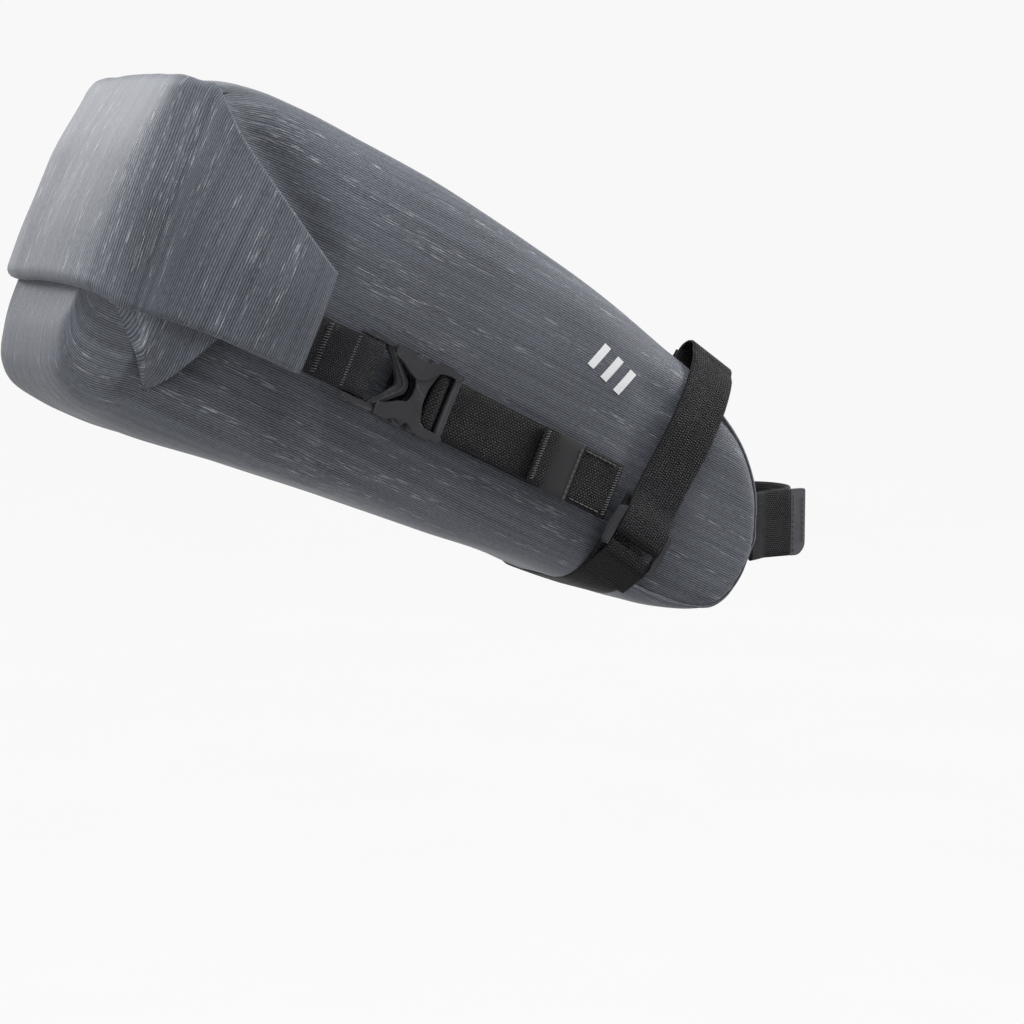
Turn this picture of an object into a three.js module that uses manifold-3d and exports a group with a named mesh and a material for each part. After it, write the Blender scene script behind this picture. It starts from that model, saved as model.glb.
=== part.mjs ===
// Roll-top saddle bag: a soft welded bag held by two straps over the saddle rails and one strap
// round the seatpost, and closed at its rear end by a rolled mouth with a buckle on each side.
// Units are millimetres. The origin is on the seatpost's axis at the middle of the seatpost strap,
// +X forward, +Y to the rider's left, +Z up along the seatpost.

import * as THREE from 'three';
import { mergeVertices } from 'three/addons/utils/BufferGeometryUtils.js';
import Module from 'manifold-3d';

const wasm = await Module();
wasm.setup();

// ---- driving dimensions -------------------------------------------------------------------

const SEATPOST_RADIUS = 15.8;
const GAP = 0.4;                    // between pieces that touch
const BAG_TILT = 25;                // degrees, nose down
const WALL = 1.6;                   // laminated fabric with its lining
const RING_SIDES = 36;

// Sections of the bag across its own axis: distance behind the origin along that axis,
// top, bottom, half width, and how square the section is (2 is an ellipse).
const SECTIONS = [
  [19.5, -9, -29, 26.0, 3.2],
  [21.0, -2, -36, 29.5, 3.2],
  [25.0, 6, -43, 31.5, 3.2],
  [32.0, 15, -50, 33.0, 3.1],
  [45.0, 26, -54.5, 35.0, 3.4],
  [70.0, 37, -59, 37.0, 4.2],
  [95.0, 46.5, -62.5, 39.4, 4.5],
  [130.0, 55.5, -65.5, 42.5, 4.5],
  [161.0, 59.8, -68, 45.3, 4.7],
  [195.0, 62.3, -70.8, 48.3, 5.0],
  [232.0, 63.6, -74, 51.6, 5.4],
  [276.0, 64.2, -77.5, 54.2, 5.6],
  [307.0, 62.8, -79.5, 54.8, 5.6],
  [326.0, 59.5, -77, 54.6, 5.2],
  [340.0, 52.4, -66, 54.0, 4.4],
  [345.0, 50, -52, 53.0, 3.6],
];
const REAR = 345;                   // the bag's rear face along its axis
const NOSE_END = 20;                // stations up to here belong to the front face
const NOSE_FADE = 15;
const MOUTH = { bottom: -25, top: 44, halfWidth: 46, round: 9 };

// Stretches of the bag's skin that carry a panel or a board: x, y and z limits.
const PANEL_THICK = 1;
const BOARD_THICK = 1.2;
const NOSE_PANEL = [-36, 0, -28, 28, -60, 30];
const NOSE_BOARD = [-44, 0, -26, 26, -46, 12];
const BASE_BOARD = [-285, -46, -30, 30, -100, -35];

// Rolled closure: the flap over the rear face, its band, and the two ends folded forward.
const FLAP_FACE = -REAR - 0.8;      // the flap's inner face
const ROLL = { flap: 5, band: 9, bandBottom: -34, bandTop: 5, halfWidth: 62.4, wing: 3.4 };
const ROLL_SLOT = { depth: 2.6, bottom: -20, top: 2, halfLength: 70, endGap: 12 };
const WING_FRONT = 262;
const WING_LEAN = 4;                // degrees, the folded ends lean in towards the top
const WING_TOP = 50;

// Side closure: webbing, buckle and anchor on a straight line along each side.
const SIDE_ORIGIN = { station: 239.5, halfWidth: 52.9, height: -22 };
const SIDE_TOE_IN = 5.1;            // degrees, the side panels converge towards the nose
const WEB = 24;                     // side webbing width
const WEB_THICK = 1.3;
const WEB_GAP = 0.35;               // between the side webbing and the bag
const SEWN = { from: 18, patch: 99.5, patchEnd: 117.5, end: 140 };  // along the side webbing

// Side-release buckle: half widths across it, and heights off the bag.
const BUCKLE_HALF = 14.6;
const BUCKLE_CLEAR = 12.4;
const BUCKLE_WALL = 1.8;
const BUCKLE_FACES = [[2.2, 3.8], [7, 8.6]];
const BUCKLE_CORE = [4.2, 6.6];     // guide and spring arms, between the faces
const BUCKLE_SIDE = [2.4, 8];
const SQUEEZE_WINDOW = [12, 30.8];  // along the socket, open at the sides for the spring arms

// Rail straps, in a frame turned further forward than the bag.
const RAIL_STRAP_TILT = 9.2;
const SLIDER_PLACE = { station: 80.9, height: -35.8 };
const RAIL_WEB = 24;
const RAIL_WEB_THICK = 1.2;
const RAIL_OFFSET = 22;             // half the rails' spacing
const LOOP_CROWN = 90.2;            // height of the webbing over the rail, above the slider
const LOOP_RADIUS = 5;
const SLING_HALF_WIDTH = 40.3;
const SLING = { centre: 6, halfHeight: 37, square: 4.5, rise: 18, steps: 40 };
const SLIDER = { lift: 1.2, bar: 2.4, barThick: 1.5, earThick: 3.4, earHalf: 9, barHeight: 7.6 };

// Seatpost strap.
const STRAP_HEIGHT = 30;
const STRAP_THICK = 2;

const COLOURS = {
  fabric: [0x6f7278, 0.75], panel: [0x2b2b2d, 0.85], webbing: [0x1c1c1f, 0.8],
  plastic: [0x1a1a1c, 0.4], board: [0x303236, 0.7], patch: [0x2e2e32, 0.65],
};

// ---- helpers ------------------------------------------------------------------------------

const radians = THREE.MathUtils.degToRad;
const SIDES = { right: -1, left: 1 };

function toSolid(geometry) {
  const bare = geometry.clone();
  bare.deleteAttribute('normal');
  bare.deleteAttribute('uv');
  const merged = mergeVertices(bare, 1e-4);
  return new wasm.Manifold(new wasm.Mesh({
    numProp: 3,
    vertProperties: new Float32Array(merged.attributes.position.array),
    triVerts: new Uint32Array(merged.index.array),
  }));
}

function toGeometry(solid) {
  const mesh = solid.getMesh();
  const geometry = new THREE.BufferGeometry();
  geometry.setAttribute('position', new THREE.BufferAttribute(new Float32Array(mesh.vertProperties), 3));
  geometry.setIndex(new THREE.BufferAttribute(new Uint32Array(mesh.triVerts), 1));
  return geometry;
}

function joined(...geometries) {
  return toGeometry(geometries.map(toSolid).reduce((whole, piece) => whole.add(piece)));
}

function cut(geometry, ...tools) {
  return toGeometry(tools.map(toSolid).reduce((rest, tool) => rest.subtract(tool), toSolid(geometry)));
}

function common(a, b) {
  return toGeometry(toSolid(a).intersect(toSolid(b)));
}

// Which world axes an extrusion's own X, Y and Z become.
const PLANES = {
  xy: new THREE.Matrix4(),
  yz: new THREE.Matrix4().makeBasis(
    new THREE.Vector3(0, 1, 0), new THREE.Vector3(0, 0, 1), new THREE.Vector3(1, 0, 0)),
  xz: new THREE.Matrix4().makeBasis(
    new THREE.Vector3(1, 0, 0), new THREE.Vector3(0, 0, 1), new THREE.Vector3(0, -1, 0)),
};

// An outline in one plane, made solid from low to high across it.
function prism(plane, outline, low, high) {
  const shape = outline instanceof THREE.Shape ? outline : new THREE.Shape(
    outline.map(([a, b]) => new THREE.Vector2(a, b)));
  const geometry = new THREE.ExtrudeGeometry(shape, {
    depth: high - low, bevelEnabled: false, curveSegments: 8,
  });
  const start = plane === 'xz' ? -high : low;
  geometry.translate(0, 0, start);
  geometry.applyMatrix4(PLANES[plane]);
  return geometry;
}

function block(x0, x1, y0, y1, z0, z1) {
  const geometry = new THREE.BoxGeometry(x1 - x0, y1 - y0, z1 - z0);
  geometry.translate((x0 + x1) / 2, (y0 + y1) / 2, (z0 + z1) / 2);
  return geometry;
}

// The outline of a strip of webbing whose middle follows the given points, mitred at each.
function ribbonOutline(points, thickness) {
  const line = points.map(([a, b]) => new THREE.Vector2(a, b));
  const left = [];
  const right = [];
  line.forEach((here, i) => {
    const before = here.clone().sub(line[Math.max(i - 1, 0)]).normalize();
    const after = line[Math.min(i + 1, line.length - 1)].clone().sub(here).normalize();
    const along = before.clone().add(after).normalize();
    const reach = thickness / 2 / Math.max(along.dot(i === 0 ? after : before), 0.5);
    left.push([here.x - along.y * reach, here.y + along.x * reach]);
    right.push([here.x + along.y * reach, here.y - along.x * reach]);
  });
  return [...left, ...right.reverse()];
}

// Points of an arc about a centre, angles in degrees.
function arc(centre, radius, from, to, steps) {
  return Array.from({ length: steps + 1 }, (_, i) => {
    const angle = radians(from + (to - from) * i / steps);
    return [centre[0] + radius * Math.cos(angle), centre[1] + radius * Math.sin(angle)];
  });
}

// A closed skin through rings of equal length, with a fan at each end.
function loft(rings) {
  const sides = rings[0].length;
  const positions = rings.flat().flatMap((p) => [p.x, p.y, p.z]);
  const index = [];
  for (let r = 0; r < rings.length - 1; r += 1) {
    for (let k = 0; k < sides; k += 1) {
      const a = r * sides + k;
      const b = r * sides + (k + 1) % sides;
      index.push(a, b, b + sides, a, b + sides, a + sides);
    }
  }
  const ends = [[rings[0], 0], [rings.at(-1), (rings.length - 1) * sides]];
  ends.forEach(([ring, first], end) => {
    const middle = ring.reduce((sum, p) => sum.add(p), new THREE.Vector3()).divideScalar(sides);
    const hub = positions.length / 3;
    positions.push(middle.x, middle.y, middle.z);
    for (let k = 0; k < sides; k += 1) {
      const a = first + k;
      const b = first + (k + 1) % sides;
      index.push(...(end === 0 ? [hub, b, a] : [hub, a, b]));
    }
  });
  const geometry = new THREE.BufferGeometry();
  geometry.setAttribute('position', new THREE.Float32BufferAttribute(positions, 3));
  geometry.setIndex(index);
  return geometry;
}

function addPiece(parent, name, geometry, [colour, roughness]) {
  const bare = geometry.index ? geometry : mergeVertices(geometry);
  bare.computeVertexNormals();
  const material = new THREE.MeshStandardMaterial({ color: colour, roughness, metalness: 0 });
  const mesh = new THREE.Mesh(bare, material);
  mesh.name = name;
  parent.add(mesh);
  return mesh;
}

// ---- the bag ------------------------------------------------------------------------------

function signedPower(value, power) {
  return Math.sign(value) * Math.abs(value) ** power;
}

function sectionRing([station, top, bottom, halfWidth, square], grow) {
  const middle = (top + bottom) / 2;
  const halfHeight = (top - bottom) / 2 + grow;
  return Array.from({ length: RING_SIDES }, (_, k) => {
    const angle = 2 * Math.PI * (k + 0.5) / RING_SIDES;
    return new THREE.Vector3(
      -station,
      -(halfWidth + grow) * signedPower(Math.cos(angle), 2 / square),
      middle + halfHeight * signedPower(Math.sin(angle), 2 / square),
    );
  });
}

// The bag's outer surface moved outwards by grow (inwards where it is negative).
function bagForm(grow) {
  const last = SECTIONS.length - 1;
  return loft(SECTIONS.map((section, i) => {
    const nearNose = Math.max(0, 1 - (section[0] - NOSE_END) / NOSE_FADE);
    const slide = i === last ? grow : -grow * (i === 0 ? 1 : nearNose);
    return sectionRing([section[0] + slide, ...section.slice(1)], grow);
  }));
}

function mouthTool() {
  const { bottom, top, halfWidth, round } = MOUTH;
  const shape = new THREE.Shape();
  shape.moveTo(-halfWidth + round, bottom);
  shape.absarc(halfWidth - round, bottom + round, round, -Math.PI / 2, 0);
  shape.absarc(halfWidth - round, top - round, round, 0, Math.PI / 2);
  shape.absarc(-halfWidth + round, top - round, round, Math.PI / 2, Math.PI);
  shape.absarc(-halfWidth + round, bottom + round, round, Math.PI, 1.5 * Math.PI);
  return prism('yz', shape, -REAR - 10, -REAR + 10);
}

function bagBody() {
  return cut(bagForm(0), bagForm(-WALL), mouthTool());
}

// A sheet that lies between two offsets of the bag's surface, inside the given block.
function bagSheet(inner, outer, region) {
  return common(cut(bagForm(outer), bagForm(inner)), region);
}

function addBag(bag) {
  addPiece(bag, 'bag_body', bagBody(), COLOURS.fabric);
  addPiece(bag, 'nose_panel', bagSheet(GAP, GAP + PANEL_THICK, block(...NOSE_PANEL)), COLOURS.panel);
  const face = -WALL - GAP;
  addPiece(bag, 'nose_stiffener', bagSheet(face - BOARD_THICK, face, block(...NOSE_BOARD)), COLOURS.board);
  addPiece(bag, 'base_stiffener', bagSheet(face - BOARD_THICK, face, block(...BASE_BOARD)), COLOURS.board);
}

// ---- rolled closure -------------------------------------------------------------------------

function flapProfile() {
  const inner = FLAP_FACE;
  return [
    [inner + 7, 53.5], [inner, 53], [inner, ROLL.bandBottom], [inner - ROLL.band, ROLL.bandBottom + 2],
    [inner - ROLL.band, ROLL.bandTop - 3], [inner - ROLL.flap, ROLL.bandTop + 2], [inner - ROLL.flap, 52],
    [inner - 2, 56], [inner + 7, 56],
  ];
}

// The flap seen from behind: it narrows from the band up to the bag's top.
function flapOutline() {
  const { halfWidth, bandBottom, bandTop } = ROLL;
  return [
    [-halfWidth, bandBottom - 5], [halfWidth, bandBottom - 5], [halfWidth, bandTop],
    [halfWidth - 5.5, 58], [-halfWidth + 5.5, 58], [-halfWidth, bandTop],
  ];
}

function wingProfile() {
  const rear = FLAP_FACE - ROLL.flap;
  return [
    [rear, WING_TOP], [-WING_FRONT, ROLL.bandTop], [-WING_FRONT, ROLL.bandBottom + 1],
    [-REAR + 25, ROLL.bandBottom - 3], [rear - 2, ROLL.bandBottom + 2], [rear - 2, ROLL.bandTop],
  ];
}

// One folded end of the roll, laid forward along the bag's side.
function rollWing(sign) {
  const wing = prism('xz', wingProfile(), -ROLL.wing / 2, ROLL.wing / 2);
  const hinge = ROLL.bandBottom / 2;
  wing.translate(0, 0, -hinge);
  wing.rotateX(sign * radians(WING_LEAN));
  wing.translate(0, sign * (ROLL.halfWidth - ROLL.wing / 2), hinge);
  return wing;
}

// The slot in the roll, or with clear the strip that lies in it.
function rollSlot(clear) {
  const middle = FLAP_FACE - ROLL.band / 2;
  const { depth, bottom, top, halfLength, endGap } = ROLL_SLOT;
  const end = halfLength - (clear > 0 ? endGap : 0);
  return block(middle - depth / 2 + clear, middle + depth / 2 - clear,
    -end, end, bottom + clear, top - clear);
}

function rollClosure() {
  const { halfWidth } = ROLL;
  const flap = common(
    prism('xz', flapProfile(), -halfWidth, halfWidth), prism('yz', flapOutline(), -REAR - 20, -REAR + 10));
  return cut(joined(flap, rollWing(SIDES.right), rollWing(SIDES.left)), rollSlot(0));
}

function addRollClosure(bag) {
  addPiece(bag, 'roll_closure', rollClosure(), COLOURS.fabric);
  addPiece(bag, 'closure_stiffener', rollSlot(GAP), COLOURS.board);
}

// ---- side straps and buckles ------------------------------------------------------------------
// Each side has its own frame: x forward along the strap, z across it, y away from the bag.

function sideProfile(sign, points) {
  return points.map(([x, out]) => [x, sign * out]);
}

function sideRibbon(sign, points, width) {
  const outline = ribbonOutline(sideProfile(sign, points), WEB_THICK);
  return prism('xy', outline, -width / 2, width / 2);
}

// A plan outline in the strap's plane, between two heights off the bag.
function sidePlate(sign, outline, low, high) {
  return sign > 0 ? prism('xz', outline, low, high) : prism('xz', outline, -high, -low);
}

function sideBlock(sign, x0, x1, low, high, z0, z1) {
  const [y0, y1] = sign > 0 ? [low, high] : [-high, -low];
  return block(x0, x1, y0, y1, z0, z1);
}

// Webbing sewn to the roll's end, looped round the bar of the buckle's tongue.
const TAB_BAR = [4.5, 5.3];
const TAB_IN = [[-44, 1], [-30, 1], [-18, 1], [-8, 1.2], [-1, 2.6]];
const TAB_OUT = [[-1, 7.2], [-8, 4.4], [-14, 2.9], [-23, 2.7]];

function closureTab(sign) {
  return sideRibbon(sign, [...TAB_IN, ...arc(TAB_BAR, 2.4, -80, 80, 6), ...TAB_OUT], WEB - 1);
}

// Frame of the tongue: two rails, the webbing bar, and the pointed guide that enters the socket.
const RAIL_REACH = [-3, 11.4];
const GUIDE_TIP = 24.5;
const GUIDE_NOTCH = 19.5;
const GUIDE_BACK = 8;

function tongueFrame(sign) {
  const parts = [-1, 1].map((side) => {
    const [z0, z1] = side < 0 ? [-BUCKLE_HALF, -BUCKLE_CLEAR] : [BUCKLE_CLEAR, BUCKLE_HALF];
    return sideBlock(sign, ...RAIL_REACH, ...BUCKLE_SIDE, z0, z1);
  });
  const [x, out] = TAB_BAR;
  const reach = BUCKLE_CLEAR + 0.5;
  const bar = sideBlock(sign, x - 1.2, x + 1.2, out - 1.2, out + 1.2, -reach, reach);
  const front = RAIL_REACH[1];
  const guide = [[GUIDE_BACK, -reach], [front, -reach], [GUIDE_TIP, 0], [front, reach], [GUIDE_BACK, reach],
    [GUIDE_NOTCH, 0]];
  return joined(...parts, bar, sidePlate(sign, guide, ...BUCKLE_CORE));
}

// Spring arm of the tongue with the button that shows in the socket's side window.
const ARM = [
  [16.5, 8.7], [29, 9], [29.6, 10.4], [27.6, 14.4], [24.4, 14.6], [22, 13], [20.6, 11], [15.8, 11],
];

function prong(sign, side) {
  return sidePlate(sign, ARM.map(([x, z]) => [x, side * z]), ...BUCKLE_CORE);
}

// Socket: two notched plates, side walls ahead of the button windows, and the ladder for the strap.
const FACE_END = 34;
const FACE_NOTCH = { z: 8.2, tip: 27.5 };
const LADDER_END = 45.2;
const INNER_BAR = [36.1, 38.5, 4.1, 6.5];
const OUTER_BAR = [42.6, 45.6, 5.2, 7.8];
const LADDER_GAP = [32.4, 52, 3.8, 7, -3, 3];

function buckleSocket(sign) {
  const half = BUCKLE_HALF;
  const [back, windowEnd] = SQUEEZE_WINDOW;
  const face = [
    [back, -half], [FACE_END, -half], [FACE_END, half], [back, half],
    [back, FACE_NOTCH.z], [FACE_NOTCH.tip, 0], [back, -FACE_NOTCH.z],
  ];
  const plates = BUCKLE_FACES.map(([low, high]) => sidePlate(sign, face, low, high));
  const endWall = sideBlock(sign, windowEnd, FACE_END, BUCKLE_FACES[0][0], BUCKLE_FACES[1][1], -half, half);
  const walls = [-1, 1].map((side) => {
    const [z0, z1] = side < 0 ? [-half, -half + BUCKLE_WALL] : [half - BUCKLE_WALL, half];
    return sideBlock(sign, windowEnd, LADDER_END, BUCKLE_FACES[0][0], BUCKLE_SIDE[1], z0, z1);
  });
  const bars = [INNER_BAR, OUTER_BAR].map((bar) => sideBlock(sign, ...bar, -half, half));
  return joined(...plates, cut(endWall, sideBlock(sign, ...LADDER_GAP)), ...walls, ...bars);
}

// Free end of the strap: round the inner bar, under the outer bar, and on to its folded hem.
const TAIL_BAR = [37.3, 5.3];
const TAIL_RUN = [[39.7, 7], [41.5, 5], [43.5, 4], [47.5, 3.9], [80, 3.9], [99.5, 3.9]];
const HEM = [101, 4.75];

function strapTail(sign) {
  const wrap = arc(TAIL_BAR, 2.5, -90, -270, 8);
  const hem = [...arc(HEM, 0.85, -60, 60, 3), [99.5, 5.6], [93.5, 5.6]];
  return sideRibbon(sign, [[39.1, 2.8], ...wrap, ...TAIL_RUN, ...hem], WEB);
}

function addSideClosure(bag, side, sign) {
  const frame = new THREE.Group();
  const { station, halfWidth, height } = SIDE_ORIGIN;
  frame.position.set(-station, sign * halfWidth, height);
  frame.rotation.z = -sign * radians(SIDE_TOE_IN);
  bag.add(frame);
  const half = WEB / 2;
  addPiece(frame, `closure_tab_${side}`, closureTab(sign), COLOURS.webbing);
  addPiece(frame, `buckle_tongue_${side}`, tongueFrame(sign), COLOURS.plastic);
  addPiece(frame, `buckle_prong_upper_${side}`, prong(sign, 1), COLOURS.plastic);
  addPiece(frame, `buckle_prong_lower_${side}`, prong(sign, -1), COLOURS.plastic);
  addPiece(frame, `buckle_socket_${side}`, buckleSocket(sign), COLOURS.plastic);
  addPiece(frame, `strap_tail_${side}`, strapTail(sign), COLOURS.webbing);
  const { from, patch, patchEnd, end } = SEWN;
  const top = WEB_GAP + WEB_THICK;
  addPiece(frame, `side_strap_${side}`, sideBlock(sign, from, patchEnd, WEB_GAP, top, -half, half),
    COLOURS.webbing);
  addPiece(frame, `anchor_patch_${side}`,
    sideBlock(sign, patch, patchEnd, top + GAP, top + 1.25, -half - 1, half + 1), COLOURS.patch);
  addPiece(frame, `anchor_webbing_${side}`,
    sideBlock(sign, patchEnd + GAP, end, WEB_GAP, 2 * WEB_THICK + 0.2, -half, half), COLOURS.webbing);
}

// ---- straps over the saddle rails -----------------------------------------------------------
// Their frame has its origin on the bag's middle plane at the sliders' height, z up the strap.

function railRibbon(sign, points, width) {
  const outline = ribbonOutline(points.map(([out, up]) => [sign * out, up]), RAIL_WEB_THICK);
  return prism('yz', outline, -width / 2, width / 2);
}

function railBlock(sign, x0, x1, low, high, z0, z1) {
  const [y0, y1] = sign > 0 ? [low, high] : [-high, -low];
  return block(x0, x1, y0, y1, z0, z1);
}

// Down from the rail to its fold round the slider's middle bar. The line is given as (out, up).
const STRAP_LINE = [
  [SLING_HALF_WIDTH + 5.05, 4], [SLING_HALF_WIDTH + 4.3, 9], [SLING_HALF_WIDTH + 1.5, 18],
  [SLING_HALF_WIDTH + 0.6, 34], [40.3, 50], [38.2, 62], [35.4, 72], [29.8, 83.8],
];
const STRAP_END = [[17, 77], [17, 61]];

function railStrap(sign) {
  const fold = arc([SLING_HALF_WIDTH + 3.3, 0], 1.75, 180, 360, 6);
  const crown = arc([RAIL_OFFSET, LOOP_CROWN - LOOP_RADIUS], LOOP_RADIUS, 20, 180, 8);
  const line = [[SLING_HALF_WIDTH + 1.55, 4], ...fold, ...STRAP_LINE, ...crown, ...STRAP_END];
  return cut(railRibbon(sign, line, RAIL_WEB), bagTopWedge(sign));
}

// The space below the slope of the bag's top, between the rails.
const TOP_WEDGE = { out: [8, 24], outline: [[-13.5, 44], [13.5, 44], [13.5, 70.8], [-13.5, 77.3]] };

function bagTopWedge(sign) {
  const [near, far] = TOP_WEDGE.out;
  return sign > 0 ? prism('xz', TOP_WEDGE.outline, near, far) : prism('xz', TOP_WEDGE.outline, -far, -near);
}

// Short webbing sewn to the bag's top, against which the loop's inner end lies.
const ANCHOR = { out: 14.6, low: 56, high: 85.3 };

function railAnchor(sign) {
  const { out, low, high } = ANCHOR;
  const strip = railBlock(sign, -RAIL_WEB / 2, RAIL_WEB / 2, out, out + WEB_THICK, low, high);
  return cut(strip, bagTopWedge(sign));
}

// Slider with three bars across and an ear at each end of them.
function triGlide(sign) {
  const { lift, bar, barThick, earThick, earHalf, barHeight } = SLIDER;
  const face = SLING_HALF_WIDTH + lift;
  const clear = RAIL_WEB / 2 + GAP;
  const ears = [[-clear - bar, -clear], [clear, clear + bar]].map(([x0, x1]) => (
    railBlock(sign, x0, x1, face, face + earThick, -earHalf, earHalf)));
  const bars = [-barHeight, barHeight].map((z) => (
    railBlock(sign, -clear - 1, clear + 1, face, face + barThick, z - bar / 2, z + bar / 2)));
  const middleBar = railBlock(sign, -clear - 1, clear + 1, face + barThick, face + 2.7, -0.7, 0.7);
  return joined(...ears, ...bars, middleBar);
}

// Webbing under the nose from one slider to the other, with a pocket over each lower bar.
const POCKET_OUT = SLING_HALF_WIDTH + 3.7;
const POCKET = [[35.4, -20.5], [39, -17], [42.4, -13.4], [POCKET_OUT, -10.6], [POCKET_OUT, -3.8]];

function slingStrap() {
  const { centre, halfHeight, square, rise, steps } = SLING;
  const from = radians(rise);
  const line = Array.from({ length: steps + 1 }, (_, i) => {
    const angle = from - (Math.PI + 2 * from) * i / steps;
    return [
      SLING_HALF_WIDTH * signedPower(Math.cos(angle), 2 / square),
      centre + halfHeight * signedPower(Math.sin(angle), 2 / square),
    ];
  });
  const pockets = Object.values(SIDES).map((sign) => railRibbon(sign, POCKET, RAIL_WEB));
  return joined(railRibbon(1, line, RAIL_WEB), ...pockets);
}

function addRailStraps(bag) {
  const frame = new THREE.Group();
  frame.position.set(-SLIDER_PLACE.station, 0, SLIDER_PLACE.height);
  frame.rotation.y = radians(RAIL_STRAP_TILT);
  bag.add(frame);
  addPiece(frame, 'sling_strap', slingStrap(), COLOURS.webbing);
  for (const [side, sign] of Object.entries(SIDES)) {
    addPiece(frame, `rail_strap_${side}`, railStrap(sign), COLOURS.webbing);
    addPiece(frame, `rail_strap_anchor_${side}`, railAnchor(sign), COLOURS.webbing);
    addPiece(frame, `tri_glide_${side}`, triGlide(sign), COLOURS.plastic);
  }
}

// ---- seatpost strap ---------------------------------------------------------------------------

const PAD = { thick: 1.6, halfWidth: 13, bottom: -24, top: 26 };
const BAND_START = [[-17.2, 22.5], [-11, 19.4]];
const LEG_START = [[-17.2, -25], [-12, -22.6]];
const LEG_END = 7.4;
const TAB = { from: 7.9, to: 15.8, corner: 4 };

function addSeatpostStrap(root) {
  const half = STRAP_HEIGHT / 2;
  const face = -SEATPOST_RADIUS - 0.3;
  const pad = block(face - PAD.thick, face, -PAD.halfWidth, PAD.halfWidth, PAD.bottom, PAD.top);
  addPiece(root, 'seatpost_pad', pad, COLOURS.panel);
  const middle = SEATPOST_RADIUS + GAP + STRAP_THICK / 2;
  const band = ribbonOutline([...BAND_START, [-4, middle], ...arc([0, 0], middle, 80, -92, 20)], STRAP_THICK);
  addPiece(root, 'seatpost_strap', prism('xy', band, -half, half), COLOURS.webbing);
  const outside = middle + STRAP_THICK + GAP;
  const leg = ribbonOutline([...LEG_START, [-5, -outside], [LEG_END, -outside]], STRAP_THICK);
  addPiece(root, 'seatpost_strap_end', prism('xy', leg, -half, half), COLOURS.webbing);
  const low = -outside - STRAP_THICK / 2;
  const { from, to, corner } = TAB;
  const tab = [[from, -half], [to - corner, -half], [to, -half + corner], [to, half], [from, half]];
  addPiece(root, 'seatpost_strap_tab', prism('xz', tab, low, low + STRAP_THICK), COLOURS.patch);
}

// ---- assembly ---------------------------------------------------------------------------------

const saddleBag = new THREE.Group();
const bag = new THREE.Group();
bag.rotation.y = radians(BAG_TILT);
saddleBag.add(bag);

addBag(bag);
addRollClosure(bag);
for (const [side, sign] of Object.entries(SIDES)) {
  addSideClosure(bag, side, sign);
}
addRailStraps(bag);
addSeatpostStrap(saddleBag);

export default saddleBag;
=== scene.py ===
"""Looks of the saddle bag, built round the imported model.

Lengths are millimetres until make_piece turns them into metres. Three working frames follow the
model's own: the bag's (station behind the origin, side, height), each side strap's (forward, out
from the bag, across) and each rail strap's (out, up, along the bag).
"""
import math

import bmesh
import bpy
import numpy as np
from mathutils import Matrix, Vector


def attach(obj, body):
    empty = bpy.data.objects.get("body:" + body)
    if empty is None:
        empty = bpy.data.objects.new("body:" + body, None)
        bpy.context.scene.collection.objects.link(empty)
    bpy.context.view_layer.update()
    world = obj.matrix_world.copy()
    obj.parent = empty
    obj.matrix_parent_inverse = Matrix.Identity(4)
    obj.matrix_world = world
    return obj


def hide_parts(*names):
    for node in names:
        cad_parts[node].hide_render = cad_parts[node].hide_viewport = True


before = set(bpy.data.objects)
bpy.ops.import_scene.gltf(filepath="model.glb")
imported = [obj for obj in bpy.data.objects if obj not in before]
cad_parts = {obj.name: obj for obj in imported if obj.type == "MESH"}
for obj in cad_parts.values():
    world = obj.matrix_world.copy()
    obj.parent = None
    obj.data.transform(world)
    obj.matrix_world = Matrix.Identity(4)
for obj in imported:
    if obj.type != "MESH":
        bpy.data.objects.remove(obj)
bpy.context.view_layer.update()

MM = 0.001
SIDES = {"right": -1, "left": 1}

# ---- driving dimensions, the same as the model's ----

BAG_TILT = 25
# station, top, bottom, half width, squareness
SECTIONS = np.array([
    [14.2, -13, -26, 29.5, 5.0],
    [17.0, -4.5, -40, 31.2, 6.0],
    [24.5, 10, -49.5, 32.6, 7.0],
    [40.5, 25.6, -55.5, 34.3, 7.0],
    [57.5, 35.4, -58.6, 36.0, 6.4],
    [73.0, 43.8, -60.8, 37.6, 5.6],
    [95.0, 48.0, -62.6, 39.4, 4.9],
    [130.0, 53.9, -63.9, 42.5, 4.6],
    [161.0, 57.7, -65.9, 45.3, 4.7],
    [195.0, 60.4, -68.0, 48.3, 5.0],
    [232.0, 62.1, -71.8, 51.6, 5.2],
    [276.0, 62.8, -75.9, 54.2, 5.2],
    [307.0, 61.5, -78.5, 54.8, 4.8],
    [318.0, 59.8, -78.6, 54.8, 4.5],
    [326.0, 57.3, -77.8, 54.6, 4.5],
    [332.0, 54.4, -76.4, 54.4, 4.8],
    [336.0, 51.8, -74.8, 54.2, 5.0],
    [340.0, 48.4, -72.0, 54.0, 5.0],
    [343.0, 46.2, -68.6, 53.2, 4.8],
    [345.0, 44.6, -63.0, 51.6, 4.6],
])
NOSE, REAR = SECTIONS[0, 0], SECTIONS[-1, 0]
SWEEP_FROM = 296                # behind this station the ribs sweep up the rear face
SIDE_ORIGIN = (-239.5, 52.9, -22)
SIDE_TOE_IN = 5.1
WEB, WEB_THICK = 24, 1.3
RAIL_ORIGIN = (-80.9, 0, -35.8)
RAIL_TILT = 9.2
RAIL_WEB, RAIL_WEB_THICK = 24, 1.2
SLING_HALF = 40.3

rng = np.random.RandomState(7)

# ---- frames and meshes ----


def bag_frame():
    """From (-station, side, height) to the row frame."""
    return Matrix.Rotation(math.radians(BAG_TILT), 4, "Y")


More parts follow.
